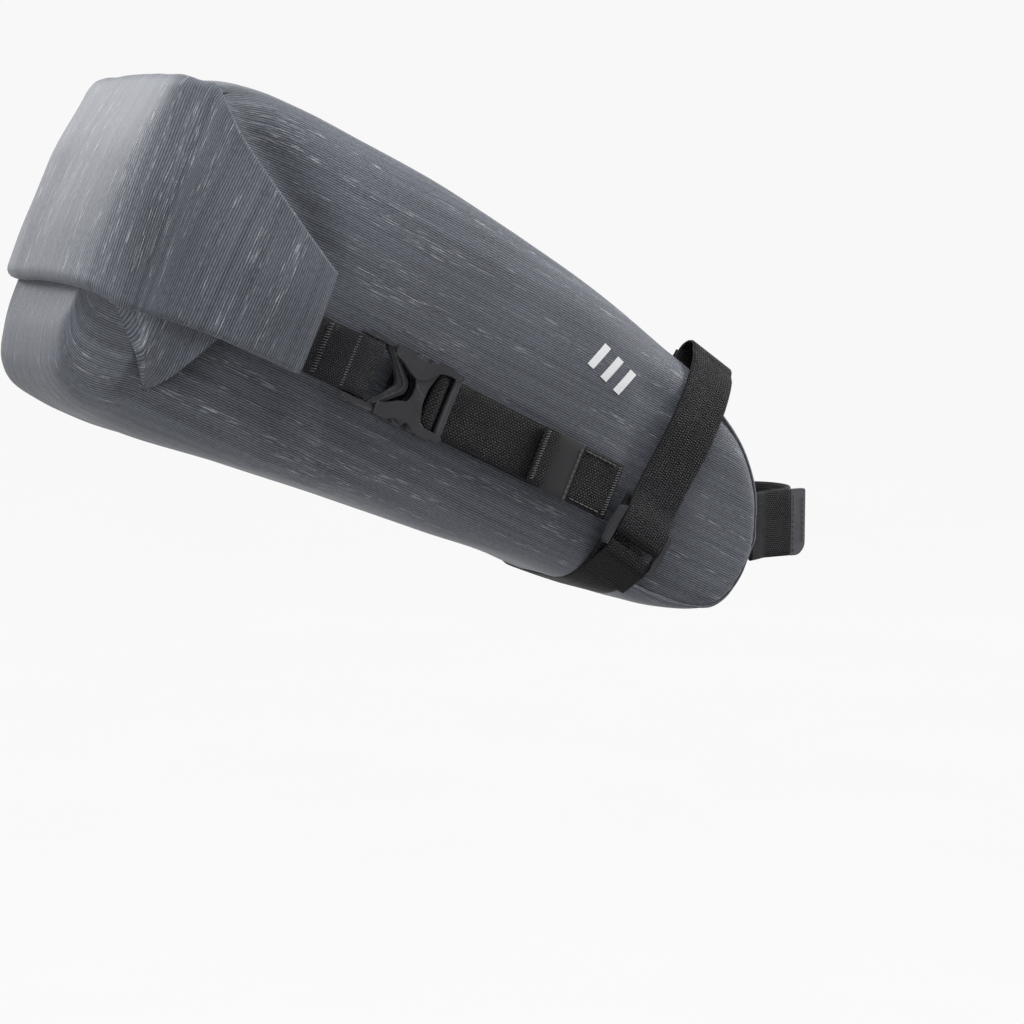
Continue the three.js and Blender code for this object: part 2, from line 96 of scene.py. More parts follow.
def side_frame(sign):
    """From (forward, out, across) of one side strap."""
    station, half, height = SIDE_ORIGIN
    return (bag_frame() @ Matrix.Translation((station, sign * half, height))
            @ Matrix.Rotation(math.radians(-sign * SIDE_TOE_IN), 4, "Z")
            @ Matrix.Diagonal((1, sign, 1, 1)))


def rail_frame(sign=1):
    """From (along the bag, out, up) of one rail strap."""
    return (bag_frame() @ Matrix.Translation(RAIL_ORIGIN)
            @ Matrix.Rotation(math.radians(RAIL_TILT), 4, "Y") @ Matrix.Diagonal((1, sign, 1, 1)))


def scene_object(name, data):
    made = bpy.data.objects.new(name, data)
    bpy.context.scene.collection.objects.link(made)
    return made


def make_piece(name, body, material, parts, place=Matrix(), replaces=()):
    """One smooth object from (points, faces, uv per face corner) parts."""
    points, faces, uvs = [], [], []
    for part_points, part_faces, part_uvs in parts:
        first = sum(len(p) for p in points)
        points.append(np.asarray(part_points, float))
        faces += [[first + k for k in face] for face in part_faces]
        uvs += part_uvs
    co = np.concatenate(points)
    turn = np.array(place)
    co = (co @ turn[:3, :3].T + turn[:3, 3]) * MM
    mesh = bpy.data.meshes.new(name)
    mesh.from_pydata(co.tolist(), [], faces)
    layer = mesh.uv_layers.new(name="cloth")
    layer.data.foreach_set("uv", (np.array([c for face in uvs for c in face]) * MM).ravel())
    mesh.polygons.foreach_set("use_smooth", [True] * len(mesh.polygons))
    work = bmesh.new()
    work.from_mesh(mesh)
    bmesh.ops.recalc_face_normals(work, faces=work.faces)
    work.to_mesh(mesh)
    work.free()
    piece = scene_object(name, mesh)
    piece.data.materials.append(material)
    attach(piece, body)
    if replaces:
        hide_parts(*replaces)
    return piece


def soften(piece, width):
    """Rounds the edges of a moulded piece."""
    bevel = piece.modifiers.new("edges", "BEVEL")
    bevel.width = width * MM
    bevel.segments = 3
    bevel.limit_method = "ANGLE"
    bevel.angle_limit = math.radians(35)
    piece.modifiers.new("normals", "WEIGHTED_NORMAL")


def thicken(piece, thickness):
    """Gives a sheet its thickness, inwards."""
    skin = piece.modifiers.new("skin", "SOLIDIFY")
    skin.thickness = thickness * MM
    skin.offset = -1


def grid_part(points, uv, around=False, ends=False):
    """A part from rows and columns of points; around joins the last column to the first."""
    points = np.asarray(points, float)
    rows, columns = points.shape[:2]
    faces, uvs = [], []
    for r in range(rows - 1):
        for c in range(columns - 1 + around):
            d = (c + 1) % columns
            faces.append([r * columns + c, r * columns + d, (r + 1) * columns + d,
                          (r + 1) * columns + c])
            uvs.append([uv[r][c], uv[r][c + 1], uv[r + 1][c + 1], uv[r + 1][c]])
    if ends:
        for r in (0, rows - 1):
            faces.append([r * columns + c for c in range(columns)])
            uvs.append([uv[r][c] for c in range(columns)])
    return points.reshape(-1, 3), faces, uvs


def smooth_values(at, known, values):
    """Monotone cubic interpolation."""
    known, values = np.asarray(known, float), np.asarray(values, float)
    step = np.diff(known)
    slope = np.diff(values) / step
    same = slope[:-1] * slope[1:] > 0
    tangent = np.zeros(len(known))
    mean = 2 * slope[:-1] * slope[1:] / np.where(same, slope[:-1] + slope[1:], 1)
    tangent[1:-1] = np.where(same, mean, 0)
    tangent[0], tangent[-1] = slope[0], slope[-1]
    i = np.clip(np.searchsorted(known, at, side="right") - 1, 0, len(step) - 1)
    t = (np.asarray(at, float) - known[i]) / step[i]
    a = (1 + 2 * t) * (1 - t) ** 2
    b = t * (1 - t) ** 2
    c = t * t * (3 - 2 * t)
    d = t * t * (t - 1)
    return a * values[i] + b * step[i] * tangent[i] + c * values[i + 1] + d * step[i] * tangent[i + 1]


def unit(vectors):
    return vectors / np.linalg.norm(vectors, axis=-1, keepdims=True)


def travel_along(line):
    """Length from the line's start to each of its points."""
    return np.r_[0, np.cumsum(np.linalg.norm(np.diff(line, axis=0), axis=1))]


def through(points, count):
    """A smooth open line of count points through the given ones, evenly spaced."""
    points = np.asarray(points, float)
    chord = travel_along(points)
    fine = np.linspace(0, chord[-1], 8 * len(points) + 1)
    line = np.stack([smooth_values(fine, chord, column) for column in points.T], 1)
    length = travel_along(line)
    even = np.linspace(0, length[-1], count)
    return np.stack([np.interp(even, length, column) for column in line.T], 1)


def step_up(x, low, high):
    t = np.clip((np.asarray(x, float) - low) / (high - low), 0, 1)
    return t * t * (3 - 2 * t)


class Wobble:
    """Smooth seeded unevenness, about -1 to 1, of features about scale long."""

    def __init__(self, scale, stretch, waves=14):
        self.k = rng.normal(size=(waves, 3)) * 2 * math.pi / (2.2 * scale) / np.array(stretch)
        self.phase = rng.uniform(0, 2 * math.pi, waves)

    def __call__(self, points):
        return np.sin(np.asarray(points) @ self.k.T + self.phase).sum(-1) / math.sqrt(len(self.phase))


def normals_of(points, core, around=False):
    """Unit normals of a grid of points, away from a point inside it."""
    down = np.gradient(points, axis=0)
    if around:
        across = (np.roll(points, -1, axis=1) - np.roll(points, 1, axis=1)) / 2
    else:
        across = np.gradient(points, axis=1)
    normal = np.cross(down, across)
    normal /= np.maximum(np.linalg.norm(normal, axis=2, keepdims=True), 1e-9)
    return normal * np.sign((normal * (points - core)).sum(-1).mean())


# ---- materials ----


class Shade:
    """A Principled material and short ways to add nodes to it."""

    def __init__(self, name, roughness, **constants):
        self.material = bpy.data.materials.new(name)
        self.material.use_nodes = True
        self.tree = self.material.node_tree
        self.shader = self.tree.nodes["Principled BSDF"]
        self.shader.inputs["Roughness"].default_value = roughness
        for socket, value in constants.items():
            self.shader.inputs[socket.replace("_", " ")].default_value = value

    def add(self, kind, *inputs, output=0, **settings):
        made = self.tree.nodes.new(kind)
        for key, value in settings.items():
            setattr(made, key, value)
        for k, value in enumerate(inputs):
            if isinstance(value, bpy.types.NodeSocket):
                self.tree.links.new(value, made.inputs[k])
            elif value is not None:
                made.inputs[k].default_value = value
        return made.outputs[output]

    def math(self, operation, a, b=None, c=None):
        return self.add("ShaderNodeMath", a, b, c, operation=operation)

    def cloth(self):
        """The piece's own cloth coordinates in millimetres: along and across."""
        uv = self.add("ShaderNodeUVMap", uv_map="cloth")
        split = self.tree.nodes.new("ShaderNodeSeparateXYZ")
        self.tree.links.new(uv, split.inputs[0])
        self.along, self.across = [self.math("MULTIPLY", split.outputs[k], 1000) for k in (0, 1)]
        return self.along, self.across

    def place(self):
        """Position on the piece in millimetres."""
        coordinates = self.add("ShaderNodeTexCoord", output=3)
        return self.add("ShaderNodeVectorMath", coordinates, (1000, 1000, 1000), operation="MULTIPLY")

    def noise(self, x, y, detail=2, rough=0.5, w=0):
        """Noise from 0 to 1 of two coordinates."""
        return self.noise_of(self.add("ShaderNodeCombineXYZ", x, y, w), 1, detail, rough)

    def noise_of(self, vector, scale, detail=2, rough=0.5):
        return self.add("ShaderNodeTexNoise", vector, None, scale, detail, rough)

    def streaks(self, along, across, *settings):
        """Noise of the cloth coordinates, with so many features per millimetre each way."""
        x = self.math("MULTIPLY", self.along, along)
        return self.noise(x, self.math("MULTIPLY", self.across, across), *settings)

    def total(self, value, *terms):
        """A start value plus each (share, weight) term."""
        for share, weight in terms:
            value = self.math("MULTIPLY_ADD", share, weight, value)
        return value

    def between(self, value, low, high, new_low=0.0, new_high=1.0):
        return self.add("ShaderNodeMapRange", value, low, high, new_low, new_high, clamp=True)

    def blend(self, share, a, b):
        mix = self.tree.nodes.new("ShaderNodeMix")
        mix.data_type = "RGBA"
        for k, value in ((0, share), (6, a), (7, b)):
            if isinstance(value, bpy.types.NodeSocket):
                self.tree.links.new(value, mix.inputs[k])
            else:
                mix.inputs[k].default_value = value if k == 0 else (*value, 1)
        return mix.outputs[2]

    def finish(self, colour, height, depth, roughness=None):
        """Links colour, surface height (depth in millimetres) and roughness to the shader."""
        link = self.tree.links.new
        link(colour, self.shader.inputs["Base Color"])
        bump = self.tree.nodes.new("ShaderNodeBump")
        bump.inputs["Strength"].default_value = 1
        bump.inputs["Distance"].default_value = depth * MM
        link(height, bump.inputs["Height"])
        link(bump.outputs[0], self.shader.inputs["Normal"])
        if roughness is not None:
            link(roughness, self.shader.inputs["Roughness"])
        return self.material


def shell_fabric():
    """Ribbed laminate: fine ribs along the cloth, pale slubs, soft tonal streaks."""
    s = Shade("shell_fabric", 0.6, Sheen_Weight=0.16, Sheen_Roughness=0.35, Specular_IOR_Level=0.40)
    _, across = s.cloth()
    wavy = s.total(across, (s.streaks(0.02, 0.05), 1.2))
    rib = s.math("SINE", s.math("MULTIPLY", wavy, 2 * math.pi / RIB_PITCH))
    rib = s.math("POWER", s.between(rib, -1, 1), 0.8)
    yarn = s.streaks(0.45, 2.6, 2, 0.6)
    grain = s.streaks(2.4, 3.4, 2, 0.6, 4)
    band = s.streaks(0.008, 0.34, 3, 0.6, 8)
    cloud = s.streaks(0.017, 0.022, 2, 0.5, 12)
    slub_run = s.streaks(0.11, 1.9, 1, 0.4, 17)
    slub_zone = s.streaks(0.011, 0.20, 1, 0.5, 23)
    slub = s.math("MULTIPLY", s.between(slub_run, 0.585, 0.70), s.between(slub_zone, 0.52, 0.62))
    slub = s.math("MULTIPLY", slub, s.between(grain, 0.38, 0.58))
    uneven = s.math("MULTIPLY", rib, s.math("MULTIPLY_ADD", yarn, 1.5, 0.25))
    tone = s.total(-0.69, (grain, 0.42), (cloud, 0.24), (band, 0.52), (yarn, 0.36), (uneven, 0.48))
    colour = s.blend(tone, (0.016, 0.018, 0.023), (0.218, 0.236, 0.284))
    colour = s.blend(s.math("MULTIPLY", slub, 0.7), colour, (0.60, 0.62, 0.65))
    height = s.total(s.math("MULTIPLY", slub, 0.5), (yarn, 0.3), (rib, 0.6))
    return s.finish(colour, height, 0.10, s.between(grain, 0.3, 0.7, 0.54, 0.70))


def plain_fabric(name, dark, light, weave, roughness):
    """Close plain weave with a little wear."""
    s = Shade(name, roughness, Sheen_Weight=0.12, Specular_IOR_Level=0.35)
    threads = [s.math("SINE", s.math("MULTIPLY", value, 2 * math.pi / weave)) for value in s.cloth()]
    height = s.between(s.math("MULTIPLY", *threads), -1, 1)
    worn = s.noise_of(s.place(), 0.09, 4, 0.6)
    tone = s.total(-0.3, (worn, 0.9), (height, 0.5))
    rough = s.between(worn, 0.3, 0.7, roughness - 0.07, roughness + 0.07)
    return s.finish(s.blend(tone, dark, light), height, 0.08, rough)


def webbing(name, along_pitch, across_pitch, dark, light, shift=0.5):
    """Woven nylon: short raised floats in columns, each column shifted against the last."""
    s = Shade(name, 0.6, Specular_IOR_Level=0.18)
    along, across = s.cloth()
    column = s.math("DIVIDE", across, across_pitch)
    number = s.math("FLOOR", column)
    odd = s.math("MODULO", s.math("ABSOLUTE", number), 2)
    uneven = s.noise(s.math("MULTIPLY", along, 0.4), number, 1, 0.5, 3)
    run = s.total(s.math("DIVIDE", along, along_pitch), (odd, shift), (uneven, 0.3))
    float_up = s.math("ABSOLUTE", s.math("SINE", s.math("MULTIPLY", run, math.pi)))
    ridge = s.math("ABSOLUTE", s.math("SINE", s.math("MULTIPLY", column, math.pi)))
    height = s.math("POWER", s.math("MULTIPLY", float_up, ridge), 1.1)
    fibre = s.streaks(1.5, 9, 2, 0.6, 6)
    worn = s.noise_of(s.place(), 0.12, 3, 0.6)
    tone = s.math("MULTIPLY", height, s.total(0.1, (worn, 0.9), (fibre, 0.8)))
    rough = s.between(worn, 0.3, 0.7, 0.48, 0.66)
    return s.finish(s.blend(tone, dark, light), s.total(height, (fibre, 0.2)), 0.30, rough)


def moulded(name, base, edge_wear_and_highlight_colour, roughness):
    """Moulded plastic: fine grain, faint flow marks; edges glossier from use and lighter, partly wear and
    partly a painted highlight.
    """
    s = Shade(name, roughness, Specular_IOR_Level=0.65)
    place = s.place()
    grain = s.noise_of(place, 2.6, 2, 0.6)
    flow = s.noise_of(place, 0.14, 4, 0.65)
    # pointed edges get the lighter colour, a painted highlight as well as wear, and less roughness
    edge = s.between(s.add("ShaderNodeNewGeometry", output=7), 0.50, 0.60)
    share = s.total(s.math("MULTIPLY", flow, 0.16), (edge, 0.7))
    rough = s.total(s.between(flow, 0.3, 0.7, roughness - 0.02, roughness + 0.05), (edge, -0.08))
    return s.finish(s.blend(share, base, edge_wear_and_highlight_colour), grain, 0.02, rough)


def thread(name, dark, light):
    """Twisted sewing thread."""
    s = Shade(name, 0.6, Sheen_Weight=0.2)
    place = s.place()
    ply = s.noise_of(place, 4.0, 1, 0.5)
    tone = s.noise_of(place, 0.4, 2, 0.5)
    share = s.total(s.math("MULTIPLY", tone, 0.4), (ply, 0.7))
    return s.finish(s.blend(share, dark, light), ply, 0.05)


def stage_paint(name, shade, glow):
    """Matt paint with a faint mottle; glow is the light that it gives off."""
    s = Shade(name, 0.9, Specular_IOR_Level=0.05)
    s.shader.inputs["Emission Color"].default_value = (1, 1, 1, 1)
    s.shader.inputs["Emission Strength"].default_value = glow
    mottle = s.noise_of(s.place(), 0.004, 2, 0.5)
    return s.finish(s.blend(mottle, (shade,) * 3, (shade + 0.02,) * 3), mottle, 0.0)


RIB_PITCH = 0.94
FABRIC = shell_fabric()
NOSE_FABRIC = plain_fabric("nose_fabric", (0.008, 0.008, 0.009), (0.03, 0.03, 0.032), 0.8, 0.7)
PATCH = plain_fabric("patch_fabric", (0.006, 0.006, 0.0075), (0.019, 0.019, 0.0225), 0.55, 0.66)
PULL_TAB = plain_fabric("pull_tab_fabric", (0.05, 0.05, 0.058), (0.12, 0.12, 0.135), 0.9, 0.55)
SIDE_WEB = webbing("side_webbing", 1.6, 1.0, (0.0008, 0.0008, 0.001), (0.020, 0.0195, 0.023))
RAIL_WEBBING = webbing("rail_webbing", 1.15, 1.3, (0.0008, 0.0008, 0.001), (0.021, 0.0205, 0.025), 0.25)
TAB_WEB = webbing("tab_webbing", 1.1, 0.9, (0.003, 0.003, 0.004), (0.030, 0.030, 0.034))
# the second colour goes on pointed edges: wear and a painted highlight
PLASTIC = moulded("buckle_plastic", (0.020, 0.020, 0.023), (0.095, 0.095, 0.105), 0.26)
RUBBER = moulded("pad_rubber", (0.010, 0.010, 0.011), (0.03, 0.03, 0.032), 0.62)
PRINT = plain_fabric("side_print", (0.76, 0.77, 0.78), (0.88, 0.89, 0.90), 0.9, 0.55)
THREAD = thread("sewing_thread", (0.010, 0.010, 0.011), (0.09, 0.09, 0.10))

# ---- the bag ----

RING = 220                      # points round a section
FOLDED_FROM = 322               # behind this station the corners of the rear end are folded in
PANEL_HALF = 28.3               # half width of the nose's end between its welded edges
NOSE_CORE = np.array([90, 0, -8])


def section(station):
    """Top, bottom, half width, squareness of the lower and of the upper half."""
    top, bottom, half, square = (smooth_values(station, SECTIONS[:, 0], column) for column in SECTIONS.T[1:])
    low_square = square + 2.6 * float(step_up(station, 318, 334))
    return top, bottom, half, low_square, square + 1.2 * float(step_up(station, 262, 318))


def corner_cut(station, height):
    """Share of its width that the rear end keeps where its corners are folded in."""
    half = section(station)[2]
    kept = min(1.0, (57.5 - 0.92 * max(0.0, station - FOLDED_FROM)) / half)
    return 1 - (1 - kept) * (1 - step_up(height, 22, 40))


def ring(station):
    """Evenly spaced (side, height) points, from the right side up over the top and round."""
    top, bottom, half, low_square, top_square = section(station)
    middle, rise = (top + bottom) / 2, (top - bottom) / 2
    angle = np.linspace(0, math.pi, 721)
    out = []
    for upper, square in ((1, top_square), (-1, low_square)):
        side = -half * np.sign(np.cos(angle)) * np.abs(np.cos(angle)) ** (2 / square)
        height = middle + upper * rise * np.sin(angle) ** (2 / square)
        length = np.r_[0, np.cumsum(np.hypot(np.diff(side), np.diff(height)))]
        even = np.linspace(0, length[-1], RING // 2 + 1)
        out.append((np.interp(even, length, side), np.interp(even, length, height), even))
    (s1, h1, l1), (s2, h2, l2) = out
    side = np.r_[s1[:-1], s2[:0:-1]]
    height = np.r_[h1[:-1], h2[:0:-1]]
    side = side * corner_cut(station, height)
    l1, l2 = (np.minimum(run, run[-1] - run) for run in (l1, l2))
    run = np.r_[l1[:-1], -l2[:0:-1]]
    return side, height, run + middle


def side_of(station, height):
    """Half width of the bag's surface at a station and height."""
    top, bottom, half, low_square, top_square = section(station)
    middle, rise = (top + bottom) / 2, (top - bottom) / 2
    square = top_square if height > middle else low_square
    shape = max(0.0, 1 - abs((height - middle) / rise) ** square) ** (1 / square)
    return half * shape * float(corner_cut(station, height))


def top_of(station, side):
    """Height of the bag's top at a station and distance from its middle."""
    top, bottom, half, _, square = section(station)
    middle, rise = (top + bottom) / 2, (top - bottom) / 2
    return middle + rise * max(0.0, 1 - (abs(side) / half) ** square) ** (1 / square)


def nose_set_back(station, side):
    """How far the nose's middle panel lies behind its welded side edges."""
    middle = 1 - step_up(np.abs(side), 20, 28)
    return 7.2 * middle * (1 - step_up(station, 16, 52))


def nose_rows(first, first_cloth):
    """The nose's end, from near its middle out to the first section."""
    middle = (0, first[:, 2].mean())
    rows, cloth = [], []
    for t in np.linspace(0.04, 1, 12)[:-1]:
        row = first * 1.0
        row[:, 1:] = middle + (first[:, 1:] - middle) * t
        row[:, 0] = NOSE + nose_set_back(NOSE, row[:, 1])
        rows.append(row)
        cloth.append(np.stack([first_cloth[:, 0] - 30 * (1 - t), first_cloth[:, 1]], 1))
    return rows, cloth


REAR_SWELL, REAR_DISH = 2.6, 1.2        # how far the rear face swells at its rim, then falls back


def rear_rows(rim, steps=16):
    """The flat rear end, from the last section in to where the roll covers it."""
    goal = np.stack([rim[:, 0], rim[:, 1] * 0.72, np.clip(rim[:, 2], -24, 20) * 0.9], 1)
    rows = []
    for k in range(1, steps + 1):
        t = k / steps
        row = rim + (goal - rim) * t
        row[:, 0] = REAR + REAR_SWELL * math.sin(math.pi / 2 * min(1, t * 3.2)) - REAR_DISH * t
        rows.append(row)
    return rows


def bag_rows():
    """Rows of (station, side, height) and cloth coordinates from the nose to the rear face."""
    stations = np.unique(np.r_[np.linspace(NOSE, 26, 9), np.linspace(26, 300, 112),
                               np.linspace(300, REAR, 34)])
    rows, runs = [], []
    for station in stations:
        side, height, run = ring(station)
        row = np.stack([np.full(RING, station), side, height], 1)
        row[:, 0] += nose_set_back(station, side)
        rows.append(row)
        runs.append(run if station <= SWEEP_FROM else runs[-1])
    rows += rear_rows(rows[-1])
    cloth = []
    for k, row in enumerate(rows):
        if k < len(stations) and stations[k] <= SWEEP_FROM:
            travel = np.full(RING, stations[k])
        else:
            travel = travel + np.linalg.norm(row - rows[k - 1], axis=1)
        cloth.append(np.stack([travel, runs[min(k, len(runs) - 1)]], 1))
    front, front_cloth = nose_rows(rows[0], cloth[0])
    return np.array(front + rows), np.array(front_cloth + cloth)


HANG = Wobble(70, (1.6, 1, 1))
RIPPLE = Wobble(24, (2.4, 1, 1))
FOLDS = [(262, 0.9), (236, 0.7), (196, 0.6), (158, 0.5)]    # station and depth of the soft side folds
SLING_LEAN = 0.162              # the sling's slope against the bag's sections
SLING_PRESS, SLING_REACH = 1.8, 15
FOLD_START = (334.9, 53.5)      # station and height where the roll's front edge starts down the side
FOLD_ACROSS = (-0.569, 0.822)   # direction across that edge
FOLD_PRESS = 3.0


def bump(x, reach, power=2):
    """1 at zero, falling to nothing well past reach on both sides."""
    return np.exp(-(x / reach) ** power)


def creases(points):
    """Inward and outward movement of the shell: hang, strap pressure and soft folds."""
    station, side, height = points[..., 0], points[..., 1], points[..., 2]
    middle = (1 - step_up(station, 322, 344)) * step_up(station, 22, 60)
    move = middle * (0.8 * HANG(points) + 0.35 * RIPPLE(points))
    flank = step_up(np.abs(side), 26, 38)
    strap = bump(height + 22 - 0.01 * (station - 240), 15)
    move -= 1.1 * flank * strap * step_up(station, 95, 130) * (1 - step_up(station, 262, 300))
    slope = 0.55 * (height + 60)
    for centre, depth in FOLDS:
        move += flank * depth * bump(station - centre - slope, 7) * bump(height + 66, 17)
    lean = station + RAIL_ORIGIN[0] - SLING_LEAN * (height - RAIL_ORIGIN[2])
    move -= SLING_PRESS * bump(lean, SLING_REACH, 4) * (1 - step_up(height, 20, 34))
    beside = FOLD_ACROSS[0] * (station - FOLD_START[0]) + FOLD_ACROSS[1] * (height - FOLD_START[1])
    pressed = bump(beside - 3, 9) * step_up(station, 256, 280) * (1 - step_up(station, 326, 338))
    return move - FOLD_PRESS * pressed * step_up(np.abs(side), 38, 47)


def to_bag(points):
    """(station, side, height) to the bag frame's own axes."""
    return np.asarray(points, float) * (-1, 1, 1)


def build_bag():
    rows, cloth = bag_rows()
    rows = rows + normals_of(rows, rows.mean(axis=(0, 1)), around=True) * creases(rows)[..., None]
    uv = np.concatenate([cloth, cloth[:, :1]], 1)
    make_piece("bag_shell", "bag", FABRIC,
               [grid_part(to_bag(rows), uv, around=True, ends=True)], bag_frame(),
               replaces=("bag_body", "nose_stiffener", "base_stiffener"))


def tube_part(line, up, wide, thick, sides=10):
    """A soft strip of elliptical section along a line; up is its wide direction at each point."""
    line = np.asarray(line, float)
    tangent = unit(np.gradient(line, axis=0))
    up = unit(up - (up * tangent).sum(1, keepdims=True) * tangent)
    out = np.cross(tangent, up)
    angle = np.linspace(0, 2 * math.pi, sides + 1)
    points = (line[:, None] + up[:, None] * (wide / 2 * np.cos(angle))[None, :, None]
              + out[:, None] * (thick / 2 * np.sin(angle))[None, :, None])
    uv = np.stack(np.broadcast_arrays(travel_along(line)[:, None], (wide * angle / math.pi)[None]), -1)
    return grid_part(points[:, :-1], uv, around=True, ends=True)


def build_nose_seam():
    """Welded edge of each side panel round the nose."""
    upper = [73, 69, 65, 57.5, 49, 40.5, 32, 24.5, 20, 17]
    lower = [17, 20, 24.5, 32, 40.5, 50, 62, 75]
    parts = []
    for sign in SIDES.values():
        line = []
        for stations, under in ((upper, False), (lower, True)):
            for station in stations:
                top, bottom, half = section(station)[:3]
                side = 0.91 * half
                height = top_of(station, side)
                line.append((station, sign * side, top + bottom - height if under else height))
            if not under:
                line += [(NOSE + 0.2, sign * PANEL_HALF, z) for z in (-13, -19.5, -26)]
        line = through(line, 220)
        parts.append(tube_part(to_bag(line), to_bag(line - NOSE_CORE), 2.4, 1.2))
    make_piece("nose_seam", "bag", FABRIC, parts, bag_frame())


def build_nose_lining():
    """Rubbery panel welded over the nose between the side panels, against the seatpost."""
    down = np.linspace(38, NOSE + 0.2, 40)
    up = np.linspace(NOSE + 0.2, 25, 34)
    sides = np.linspace(-25, 25, 45)
    rows, cloth = [], []
    travel = 0
    for station, under in [(s, False) for s in down] + [(s, True) for s in up]:
        row = []
        for side in sides:
            top, bottom = section(station)[:2]
            height = top_of(station, side)
            row.append((station + float(nose_set_back(station, side)), side,
                        top + bottom - height if under else height))
        row = np.array(row)
        travel += np.linalg.norm(row[22] - rows[-1][22]) if rows else 0
        rows.append(row)
        cloth.append([(travel, side) for side in sides])
    rows = np.array(rows)
    out = normals_of(rows, NOSE_CORE)
    lining = make_piece("nose_lining", "bag", NOSE_FABRIC,
                        [grid_part(to_bag(rows + 0.9 * out), cloth)], bag_frame(), replaces=("nose_panel",))
    thicken(lining, 1.0)


def mark_bar(station, height):
    """One slanted bar of the generic mark printed on a side panel."""
    rows, cloth = [], []
    for v in np.linspace(-1, 1, 9):
        row = []
        for u in np.linspace(-1, 1, 5):
            s, q = station + 1.9 * u - 2.6 * v, height + 5.6 * v + 0.5 * u
            row.append((s, -side_of(s, q), q))
        rows.append(row)
        cloth.append([(3 * u, 6 * v) for u in np.linspace(-1, 1, 5)])
    rows = np.array(rows)
    rows[..., 1] -= creases(rows) + 0.22
    return grid_part(to_bag(rows), cloth)


def build_mark():
    bars = [mark_bar(station, 24.6 + 0.28 * (station - 122)) for station in (130.5, 122, 113.5)]
    make_piece("side_mark", "bag", PRINT, bars, bag_frame())


# ---- rolled closure ----

# From the middle outwards: distance across, then the upper start, upper bend, middle and lower
# edge of the folded sheet as (station, side, height).
ROLL_KEYS = [
    (0, (312, 0, 0), (345.4, 0, 48.8), (349.4, 0, 10), (350.0, 0, -34)),
    (22, (312, 22, 0), (345.4, 22, 48.8), (349.0, 22.4, 10), (349.4, 23, -34.4)),
    (38, (316, 37, 0), (345.0, 38, 48.8), (346.4, 39.8, 9), (346.4, 42.4, -35.2)),
    (48, (328, 43.6, 0), (343.0, 46.2, 48.8), (342.2, 49.6, 8), (341.4, 52.6, -36.8)),
    (56, (334.6, 48.8, 51.2), (337.8, 50.2, 49.4), (337.8, 54.6, 7), (336.4, 57.6, -38.2)),
    (66, (328.5, 51.6, 45.8), (329.5, 52.2, 42), (331.2, 57.4, 3), (330.4, 59.4, -38)),
    (76, (320.5, 54.4, 37.8), (321, 54.8, 34), (324.6, 59.2, 0), (325.0, 60.6, -37.2)),
    (100, (295.6, 58.8, 22), (296, 59.2, 17), (298, 61.4, -8), (299, 61.6, -34.8)),
    (118, (277, 60.6, 11.5), (277.2, 60.9, 7), (278, 62.2, -12), (279, 62.0, -34.4)),
    (133, (264.2, 61.6, 4.6), (264.1, 61.8, 1), (263.8, 62.4, -15), (263.5, 62, -34.2)),
]
ROLL_STEPS, ROLL_DOWN, ROLL_ROUNDS = 130, 70, 6
ROLL_CORE = (250, 0, 0)
LEFT_CORNER = (2.5, 1.5, 8.0)   # the left corner's lower edge hangs less low
CROWN, SHOULDER = np.array([(-6.5, 0, 1.4), (1.5, 0, -5)])      # from the upper bend


def roll_columns(sign):
    """Middle lines of the folded sheet from its centre out to one end."""
    keys = np.array([k[0] for k in ROLL_KEYS], float)
    control = np.array([k[1:] for k in ROLL_KEYS], float)
    for row in control:
        if row[0, 2] == 0:
            row[0, 2] = top_of(row[0, 0], row[0, 1]) - 1.3
    if sign > 0:
        control[:, 3] += bump(keys - 55, 15)[:, None] * LEFT_CORNER
    across = np.linspace(0, keys[-1], ROLL_STEPS)
    spread = np.stack([np.stack([smooth_values(across, keys, control[:, p, k]) for k in range(3)], -1)
                       for p in range(4)], 1)
    columns = []
    for points, a in zip(spread, across):
        start, bend, middle, low = points
        over = float(1 - step_up(a, 42, 57))
        crown, shoulder = bend + over * CROWN, bend + over * SHOULDER
        if over > 0:
            line = [start, start + (crown - start) * 0.6, crown, bend, shoulder, middle, low]
        else:
            line = [start, start + (bend - start) * 0.5, bend, bend + (middle - bend) * 0.15, middle, low]
        columns.append(through(line, ROLL_DOWN) * (1, sign, 1))
    return np.array(columns), across


